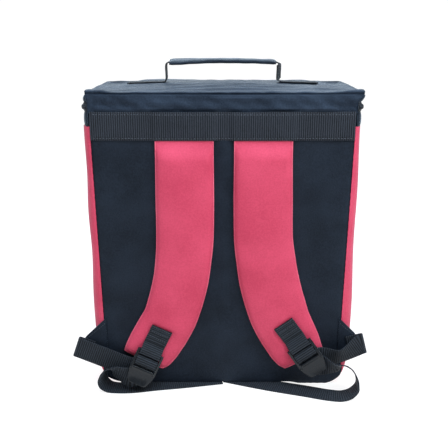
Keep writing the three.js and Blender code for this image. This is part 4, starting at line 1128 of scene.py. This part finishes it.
def adjuster_knots(name):
    """Knots and width directions from the wing, round the fold and the buckle's bar, to the tail's end."""
    buckle = BUCKLES[name]
    side, lean = buckle["side"], buckle["lean"]
    *_, flat = lock_frame(buckle, False)
    *_, tilted = lock_frame(buckle, True)
    outwards = np.array([side * math.cos(lean), 0, math.sin(lean)])
    swing_end = flat((MIDDLE_START + MIDDLE_END) / 2, WEB_LIFT)
    fold_x, fold_z = fold_place(buckle)
    fold = np.array([side * fold_x, -WING_BACK - WING_THICK - WEB_LIFT - WEB_BEND, fold_z])
    lowest = swing_end + outwards * WEB_TURN - UP * WEB_TURN
    heading = (lowest - fold) * [1, 0, 1]
    heading /= np.linalg.norm(heading)
    upper = np.array([side * heading[2], 0, -side * heading[0]])
    swing = swing_knots(swing_end, outwards, -upper)

    def on_bend(degrees):
        angle = math.radians(degrees)
        return fold - heading * WEB_BEND * math.cos(angle) + OUT * WEB_BEND * math.sin(angle)

    leg = [
        fold + heading * WING_LEG - OUT * WEB_BEND,
        fold + heading * WEB_BEND - OUT * WEB_BEND,
        on_bend(-60),
        on_bend(0),
        on_bend(60),
        fold + (heading + OUT) * WEB_BEND,
    ]
    knots = [(point, upper) for point in leg]
    middle = lerp(fold + OUT * WEB_BEND, swing[0][0], 0.5) - UP * buckle["sag"] * WEB_WIDTH
    rolled = upper + OUT * buckle["roll"]
    knots.append((middle, rolled / np.linalg.norm(rolled)))
    slack = WEB_LIFT + WEB_SLACK
    behind = -slack - WEB_THICK / 2
    over_bar = round_bar(tilted, MIDDLE_START, MIDDLE_END, slack)[2:-2]
    weave = [tilted(MIDDLE_START - 0.0048, -0.0006), tilted(MIDDLE_START - 0.0034, 0.0026)] + over_bar
    weave += [tilted(MIDDLE_END + 0.0035, 0.0012), tilted(MIDDLE_END + 0.0062, behind)]
    tail_swing = swing_knots(tilted(TAB_START + BAR / 2, behind), outwards, -UP)[::-1]
    out, near, up = TAILS[name][:, :3].T
    tail = np.column_stack([
        side * out * TAIL_SPAN, -HALF_DEPTH - near * WEB_WIDTH, WEB_THICK / 2 + up * WEB_WIDTH
    ])
    tail_wide = TAILS[name][:, 3:] * [side, -1, 1]
    tail_wide = tail_wide / np.linalg.norm(tail_wide, axis=1)[:, None]
    knots += swing + [(point, outwards) for point in weave] + tail_swing + list(zip(tail, tail_wide))
    return zip(*knots)


def loop_knots(name):
    """Knots and width directions from the strap, over the buckle's upper bar and back under it."""
    buckle = BUCKLES[name]
    *_, flat = lock_frame(buckle, False)
    _, across, _, tilted = lock_frame(buckle, True)
    points = [flat(-PATCH_LENGTH, WEB_LIFT), flat(-PATCH_LENGTH / 2, WEB_LIFT), flat(-BAR * 1.5, WEB_LIFT)]
    points += round_bar(tilted, 0, BAR, WEB_LIFT)[2:]
    points += [tilted(BAR, -WEB_LIFT), tilted(BAR / 4, -WEB_LIFT)]
    return points, [across] * len(points)


# %% Adjusters and buckle loops
WEB_WOVEN = 0.0311  # woven webbing spreads a little and fills the buckle's window
# the sewn end is turned under for 11 mm, and the webbing's return ends in a ridge at 23 mm
LOOP_HEM = [0, 0.0105, 0.0116, 0.0205, 0.0222, 0.0245, 0.026], [0.0009, 0.0009, 0, 0, 0.0009, 0.0009, 0]
STITCH_ROWS = [(0.0022, 0.0009), (0.0088, 0.0009), (0.0172, 0)]  # down from the sewn end, and its hem there
for name in SIDES:
    knots, wides = adjuster_knots(name)
    adjuster = ribbon(f"adjuster_web_{name}", list(knots), list(wides), WEB_WOVEN, WEB_THICK, STRAP_RIB)
    finish_piece(adjuster, WEBBING, "webbing", f"adjuster_{name}")
    loop = ribbon(f"buckle_web_{name}", *loop_knots(name), WEB_WOVEN, WEB_THICK, STRAP_RIB, hem=LOOP_HEM)
    finish_piece(loop, WEBBING, "webbing", f"buckle_loop_{name}")
    _, across, _, at = lock_frame(BUCKLES[name], False)
    lines = []
    for run, proud in STITCH_ROWS:
        middle = at(run - PATCH_LENGTH, GAP + WEB_THICK + proud)
        half_row = across * (WEB_WIDTH / 2 - 0.002)
        lines.append(np.linspace(middle - half_row, middle + half_row, 20))
    stitches(f"buckle_stitches_{name}", lines, [OUT] * len(lines), BLACK_THREAD, "webbing", 0.0021, 0.003)

# %% [markdown]
# ## Buckles and zip pulls
# A ladder lock is one moulding: two rails with raised inner edges, two crossbars and a dished tab with a
# ridge along its top. Each part is a simple loft. A voxel remesh melts them into one body, and smoothing
# leaves the soft inner corners of a moulded part. The zip pulls are plain, so a welded copy of the CAD part
# with rounded edges is enough.

# %% Ladder locks
LOCK_HALF, LOCK_LENGTH, LOCK_TIP, WINDOW_HALF = 0.02, 0.052, 0.0125, 0.0155


def loft(sections):
    """Closed body through rings of points: quads between the rings, and a quad grid folded over each end."""
    rings, around = sections.shape[:2]
    faces = grid_faces(rings, around, closed=True)
    half = around // 2
    k = np.arange(half - 1)
    end = np.stack([k, k + 1, around - 2 - k, around - 1 - k], -1)
    faces = np.concatenate([faces, end[:, ::-1], end + (rings - 1) * around])
    points = sections.reshape(-1, 3)
    return points, faces if volume(points, faces) > 0 else faces[:, ::-1]


def bar_sections(start, end, half_wide, low, high, count=20, around=16):
    """Rings of a straight bar between two (along, across) places: superellipse, half_wide by (high - low)."""
    t = np.linspace(0, 1, count)[:, None]
    angle = (np.arange(around) + 0.5) * 2 * np.pi / around
    c, d = np.cos(angle), np.sin(angle)
    wide = half_wide * flatter(c, 0.6)
    out = (low + high) / 2 + (high - low) / 2 * flatter(d, 0.6)
    start, end = np.asarray(start, float), np.asarray(end, float)
    line = lerp(start, end, t)
    heading = (end - start) / np.linalg.norm(end - start)
    return grid(line[:, :1] - heading[1] * wide, line[:, 1:] + heading[0] * wide, out)


def tab_sections(rings=26, around=32):
    """Rings across the tab: as wide as its outline, ridged at the top, dished below, curled at the tip."""
    a = np.linspace(TAB_START, LOCK_LENGTH, rings)
    t = (a - TAB_START) / (LOCK_LENGTH - TAB_START)
    bend = (1 - t) ** 2 * LOCK_HALF + 2 * t * (1 - t) * LOCK_HALF + t**2 * LOCK_TIP
    half = np.where(t < 0.97, bend, bend - 0.001)
    angle = (np.arange(around) + 0.5) * 2 * np.pi / around
    c, d = np.cos(angle), np.sin(angle)
    b = half[:, None] * flatter(c, 0.35)
    dish = 0.0013 * np.sin(np.pi * t)[:, None] * (1 - (b / LOCK_HALF) ** 2)
    ridge = 0.001 * hump(a - TAB_START, 0.0026, 0.0018)[:, None]
    high = LOCK_THICK - 0.0004 - dish + ridge + 0.0007 * (t**3)[:, None]
    out = np.where(d > 0, high, 0.0006 + 0.0006 * (t**3)[:, None])
    middle = (high + 0.0006) / 2
    out = middle + (out - middle) * np.abs(d) ** 0.5
    return grid(a[:, None], b, out)


# %% Both ladder locks
RAIL = (LOCK_HALF + WINDOW_HALF) / 2  # from the buckle's middle to the middle of a rail
CREST = WINDOW_HALF + 0.0013  # and to the raised edge on it
rails = [((0.0006, side * RAIL), (TAB_START + 0.004, side * RAIL)) for side in SIDES.values()]
crests = [((0.002, side * CREST), (TAB_START + 0.006, side * CREST)) for side in SIDES.values()]
crossbars = [((middle, -RAIL), (middle, RAIL)) for middle in (BAR / 2, MIDDLE_START + BAR / 2)]
parts = [bar_sections(*ends, 0.0021, 0.0001, LOCK_THICK + 0.0003) for ends in rails]
parts += [bar_sections(*ends, 0.0007, 0.002, LOCK_THICK + 0.0011) for ends in crests]
parts += [bar_sections(*ends, BAR / 2, 0.0003, LOCK_THICK - 0.0006) for ends in crossbars]
parts.append(tab_sections())
lofts = [loft(part) for part in parts]
starts = np.cumsum([0] + [len(points) for points, _ in lofts])
lock_points = np.concatenate([points for points, _ in lofts])
lock_faces = np.concatenate([faces + start for (_, faces), start in zip(lofts, starts)])
for name in SIDES:
    along, across, out, at = lock_frame(BUCKLES[name], True)
    axes = np.stack([along, across, out])
    lock = mesh_object(f"ladder_lock_{name}", lock_points @ axes + at(0, 0), lock_faces, lock_points[:, :2])
    remesh = lock.modifiers.new("remesh", "REMESH")
    remesh.mode = "VOXEL"
    remesh.voxel_size = 0.00045
    remesh.use_smooth_shade = True
    smoothing = lock.modifiers.new("smooth", "SMOOTH")
    smoothing.iterations = 5
    finish_piece(lock, PLASTIC, "black_plastic", f"buckle_{name}")


# %% Zip pulls
def rounded_copy(name, node, width):
    """A welded copy of a CAD node with its sharp edges rounded to width."""
    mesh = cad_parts[node].data.copy()
    mesh.name = name
    piece = bpy.data.objects.new(name, mesh)
    bpy.context.scene.collection.objects.link(piece)
    weld = piece.modifiers.new("weld", "WELD")
    weld.merge_threshold = 0.00002
    bevel = piece.modifiers.new("bevel", "BEVEL")
    bevel.width = width
    bevel.segments = 3
    bevel.limit_method = "ANGLE"
    bevel.angle_limit = math.radians(32)
    mesh.polygons.foreach_set("use_smooth", np.ones(len(mesh.polygons), bool))
    return piece


for name in SIDES:
    pull = rounded_copy(f"zip_pull_{name}", f"zip_slider_{name}", 0.0005)
    finish_piece(pull, PLASTIC, "black_plastic", f"zip_slider_{name}")


# %% [markdown]
# ## Wings
# A wing is a triangle of doubled cloth, sewn into the side seam, that holds the adjuster's end. It is a
# grid between its upper and its lower edge, slightly cupped, with a hem of stitches.

# %% Wings
WING_TUCK = 0.005
for name, side in SIDES.items():
    fold_x, fold_z = fold_place(BUCKLES[name])
    tip = fold_x - WEB_BEND
    base_x = seam_half(WING_TOP) - GAP - WING_TUCK
    u = np.linspace(0, 1, 34)[None]
    v = np.linspace(0, 1, 26)[:, None]
    reach_x = lerp(base_x, tip, u)
    knee = (tip - WEB_WIDTH / 3 - base_x) / (tip - base_x)
    knee_low = (tip - WEB_WIDTH / 6 - base_x) / (tip - base_x)
    upper_z = np.interp(u, [0, knee, 1], [WING_TOP, fold_z + WEB_WIDTH / 2, fold_z + 0.001])
    lower_z = np.interp(u, [0, knee_low, 1], [WING_TOP - WING_SEAM, fold_z - WEB_WIDTH / 2, fold_z - 0.001])
    wing_z = lerp(lower_z, upper_z, v)
    puff = 4 * v * (1 - v) * u * (1 - u)
    fold_line = 0.0004 * ripples(reach_x, wing_z, 0.03, 91 + side) * smooth(puff * 4)
    rim_thin = lerp(0.45, 1, smooth(np.minimum(np.minimum(v, 1 - v) * 12, (1 - u) * 12)))
    rim_thin = rim_thin * lerp(0.1, 1, smooth(u / 0.25))
    middle_y = -WING_BACK - WING_THICK / 2
    half_thick = WING_THICK / 2 * rim_thin
    front = grid(side * reach_x, middle_y - half_thick - fold_line, wing_z)
    back = grid(side * reach_x, middle_y + half_thick, wing_z)
    wing = wall(f"wing_cloth_{name}", front, back, grid(reach_x, wing_z))
    finish_piece(wing, BLACK_CLOTH, "black_cloth", f"wing_{name}")
    hem = front[-3, 1:-3] + np.array([0, 0, -0.0015])
    stitches(f"wing_stitches_{name}", [hem], [FRONT], BLACK_THREAD, "black_cloth", 0.002, 0.0032)

# %% [markdown]
# ## Handle
# One webbing is sewn flat on the lid, rises at both ends and bridges across. A cloth sleeve round its
# middle makes the grip, which is flat, a little wider than the webbing, and pinched where its ends are
# sewn.

# %% Handle webbing
HANDLE_WIDTH, HANDLE_THICK, HANDLE_SPAN, HANDLE_RISE = 0.026, 0.0016, 0.162, 0.0295
HANDLE_FOOT, HANDLE_BEND, HANDLE_TWIST = 0.056, 0.004, 0.3
GRIP_WIDTH, GRIP_THICK, GRIP_LENGTH, GRIP_ARCH = 0.031, 0.0064, 0.152, 0.002
HANDLE_TOP = float(lid_top(0, 0)) + HANDLE_RISE


def arch(x):
    """Points of the bridge: a shallow parabola."""
    x = np.asarray(x, float)
    drop = GRIP_ARCH * (x / (HANDLE_SPAN / 2 - HANDLE_BEND)) ** 2
    return grid(x, 0, HANDLE_TOP - drop)


def handle_half(side):
    """Knots and width directions from a sewn foot, up one leg and round the corner to the bridge."""
    leg = HANDLE_SPAN / 2
    corner = arch(leg - HANDLE_BEND)[2]
    bend = HANDLE_BEND * (1 - math.sqrt(0.5))
    runs = [HANDLE_FOOT, HANDLE_FOOT / 2, 2 * HANDLE_BEND, HANDLE_BEND, bend, 0]
    feet_x = [side * (leg + run) for run in runs]
    lying = [(x, 0, lid_top(x - LID_SHIFT, 0) + GAP + HANDLE_THICK / 2) for x in feet_x]
    risen = [(side * leg, 0, corner - HANDLE_BEND), (side * (leg - bend), 0, corner - bend)]
    points = np.array(lying + risen + [tuple(arch(side * (leg - HANDLE_BEND)))])
    points[4:6, 2] += [bend, HANDLE_BEND]
    wides = np.tile([0.0, 1.0, 0.0], (len(points), 1))
    wides[5:7, 0] = HANDLE_TWIST if side > 0 else 0
    return points, wides


(left_points, left_wides), (right_points, right_wides) = handle_half(-1), handle_half(1)
bridge = arch(np.linspace(-0.5, 0.5, 5) * GRIP_LENGTH)
knots = np.concatenate([left_points, bridge, right_points[::-1]])
wides = np.concatenate([left_wides, np.tile([0.0, 1.0, 0.0], (5, 1)), right_wides[::-1]])
handle = ribbon("handle_web", knots, wides, HANDLE_WIDTH, HANDLE_THICK, STRAP_RIB)
finish_piece(handle, HANDLE_WEBBING, "webbing", "handle_webbing")

# %% Grip sleeve
def rolled(y, z, angle):
    """The place (y, z) turned by angle about the x axis."""
    return y * np.cos(angle) - z * np.sin(angle), z * np.cos(angle) + y * np.sin(angle)


BORE_HALF_WIDE, BORE_HALF_THICK = HANDLE_WIDTH / 2 + 0.0009, HANDLE_THICK / 2 + 0.0005
s = np.linspace(-0.5, 0.5, 90)
centre = arch(s * GRIP_LENGTH)[:, None]
angle = np.linspace(0, 2 * np.pi, 40, endpoint=False)[None]
ends = smooth((0.5 - np.abs(s)) / 0.03)[:, None]
creases = 0.0004 * ripples(s[:, None] * 0.144, angle * 0.01, 0.02, 96)
half_wide = (GRIP_WIDTH / 2) * lerp(0.93, 1, ends) + creases
half_thick = (GRIP_THICK / 2) * lerp(0.78, 1, ends)
sleeve_y = half_wide * flatter(np.cos(angle), 0.55)
sleeve_z = half_thick * flatter(np.sin(angle), 0.8)
sleeve_z = sleeve_z + 0.00015 * ripples(s[:, None] * 0.144, sleeve_y, 0.03, 97)
turn = np.radians(1.5 + 6 * smooth((-s - 0.05) / 0.4) + 2 * smooth((s - 0.3) / 0.2))[:, None]
sleeve_y, sleeve_z = rolled(sleeve_y, sleeve_z, turn)
bore_y = BORE_HALF_WIDE * flatter(np.cos(angle), 0.4)
bore_z = BORE_HALF_THICK * flatter(np.sin(angle), 0.6)
bore_y, bore_z = rolled(bore_y, bore_z, turn)
grip_points = grid(centre[..., 0], sleeve_y, centre[..., 2] + sleeve_z)
bore_points = grid(centre[..., 0], bore_y, centre[..., 2] + bore_z)

# %% Grip sleeve's mesh
count = s.size * angle.size
shell = grid_faces(s.size, angle.size, closed=True)
ring = np.arange(angle.size)
following = np.roll(ring, -1)
last = count - angle.size
lips = np.concatenate([
    np.stack([following, ring, ring + count, following + count], -1),
    np.stack([ring + last, following + last, following + last + count, ring + last + count], -1),
])
faces = np.concatenate([shell, shell[:, ::-1] + count, lips])
points = np.concatenate([grip_points.reshape(-1, 3), bore_points.reshape(-1, 3)])
grip_uv = grid(s[:, None] * GRIP_LENGTH, angle * 0.012).reshape(-1, 2)
grip = mesh_object("grip", points, faces, np.concatenate([grip_uv] * 2))
finish_piece(grip, GRIP_CLOTH, "black_cloth", "handle_grip", fill=0.4)

# %% [markdown]
# ## Stitching
# Rows of thread hold the wide webbing and the handle's feet. They are small, but they are what tells the
# eye that webbing is sewn and not glued.

# %% Stitch rows
x = np.linspace(-BAND_HALF + 0.003, BAND_HALF - 0.003, 300)


def on_band(z):
    """A line along the wide webbing at height z, just under its face."""
    return grid(x, -HALF_DEPTH - swell(x, z) - GAP - band_lift(x) - BAND_THICK + 0.0002, z)


def on_foot(side, run, y):
    """A line on the handle's foot: run outwards from the leg, and y across."""
    foot_x = side * (HANDLE_SPAN / 2 + run)
    return grid(foot_x, y, lid_top(foot_x - LID_SHIFT, 0) + GAP + HANDLE_THICK)


band_lines = [on_band(BAND_TOP - 0.0037), on_band(BAND_BOTTOM + 0.0028)]
stitches("band_stitches", band_lines, [FRONT] * 2, BLACK_THREAD, "webbing")

SEWN_HALF, SEWN_END = 0.0105, HANDLE_FOOT - 0.003
foot_lines = []
for side in SIDES.values():
    foot_lines += [on_foot(side, np.linspace(0.012, SEWN_END, 20), y) for y in (-SEWN_HALF, SEWN_HALF)]
    across = np.linspace(-SEWN_HALF, SEWN_HALF, 8)
    foot_lines += [on_foot(side, run, across) for run in (0.013, 0.03, SEWN_END)]
stitches("handle_stitches", foot_lines, [UP] * len(foot_lines), BLACK_THREAD, "webbing", 0.0022, 0.0032)

# %% [markdown]
# ## Floor and light
# A pale floor runs up into a wall in one curve, so no horizon shows. It also glows, so that it stays as
# white as the picture's ground without flooding the bag. Large soft panels stand overhead, behind and at
# the front right, and a small one low on each side draws out the ribs of the webbing and the buckles'
# edges.

# %% Studio
FLOOR_REACH, COVE = 2.4, 1.0  # from the bag back to where the floor curves up, and the curve's radius
angle = np.linspace(0, np.pi / 2, 16)
profile = np.concatenate([
    [(-3.0, 0.0)],
    np.stack([FLOOR_REACH + COVE * np.sin(angle), COVE * (1 - np.cos(angle))], -1),
    [(FLOOR_REACH + COVE, 3.2)],
])
width = np.array([-4.0, 4.0])
sheet_points = grid(width, profile[:, :1], profile[:, 1:])
floor_mesh = bpy.data.meshes.new("floor")
floor_mesh.from_pydata(sheet_points.reshape(-1, 3).tolist(), [], grid_faces(len(profile), 2).tolist())
floor_mesh.polygons.foreach_set("use_smooth", np.ones(len(floor_mesh.polygons), bool))
floor = bpy.data.objects.new("floor", floor_mesh)
bpy.context.scene.collection.objects.link(floor)
floor_material, _, floor_shader, _, _ = new_material("pale_floor")
set_shader(floor_shader, {
    "Base Color": (0.24, 0.24, 0.24, 1),
    "Roughness": 0.9,
    "Emission Color": (1, 1, 1, 1),
    "Emission Strength": 0.84,
})
floor_mesh.materials.append(floor_material)


def soft_light(name, place, target, size, watts, colour=(1, 1, 1)):
    """A square area light at place, facing target."""
    light = bpy.data.lights.new(name, "AREA")
    light.shape = "SQUARE"
    light.size = size
    light.energy = watts
    light.color = colour
    lamp = bpy.data.objects.new(name, light)
    lamp.location = place
    direction = np.asarray(target, float) - np.asarray(place, float)
    yaw = math.atan2(direction[0], -direction[1])
    pitch = math.atan2(-direction[2], math.hypot(direction[0], direction[1]))
    lamp.rotation_euler = (math.pi / 2 - pitch, 0, yaw + math.pi)
    bpy.context.scene.collection.objects.link(lamp)


soft_light("overhead", (0.15, -0.5, 1.45), (0, -0.05, 0.4), 1.0, 27, (0.72, 0.87, 1))
soft_light("behind", (0, 1.3, 1.3), (0, 0, 0.4), 1.4, 22, (0.72, 0.87, 1))
soft_light("front_right", (1.2, -1.0, 1.5), (0, 0, 0.35), 0.8, 14)
for name, side in SIDES.items():
    soft_light(f"low_{name}", (1.5 * side, -0.42, 0.4), (0.1 * side, -0.1, 0.08), 0.16, 2.2, (0.8, 0.91, 1))
world = bpy.data.worlds.new("studio")
world.use_nodes = True
set_shader(world.node_tree.nodes["Background"], {"Color": (1, 0.99, 0.97, 1), "Strength": 0.4})
bpy.context.scene.world = world
bpy.context.scene.view_settings.view_transform = "Standard"
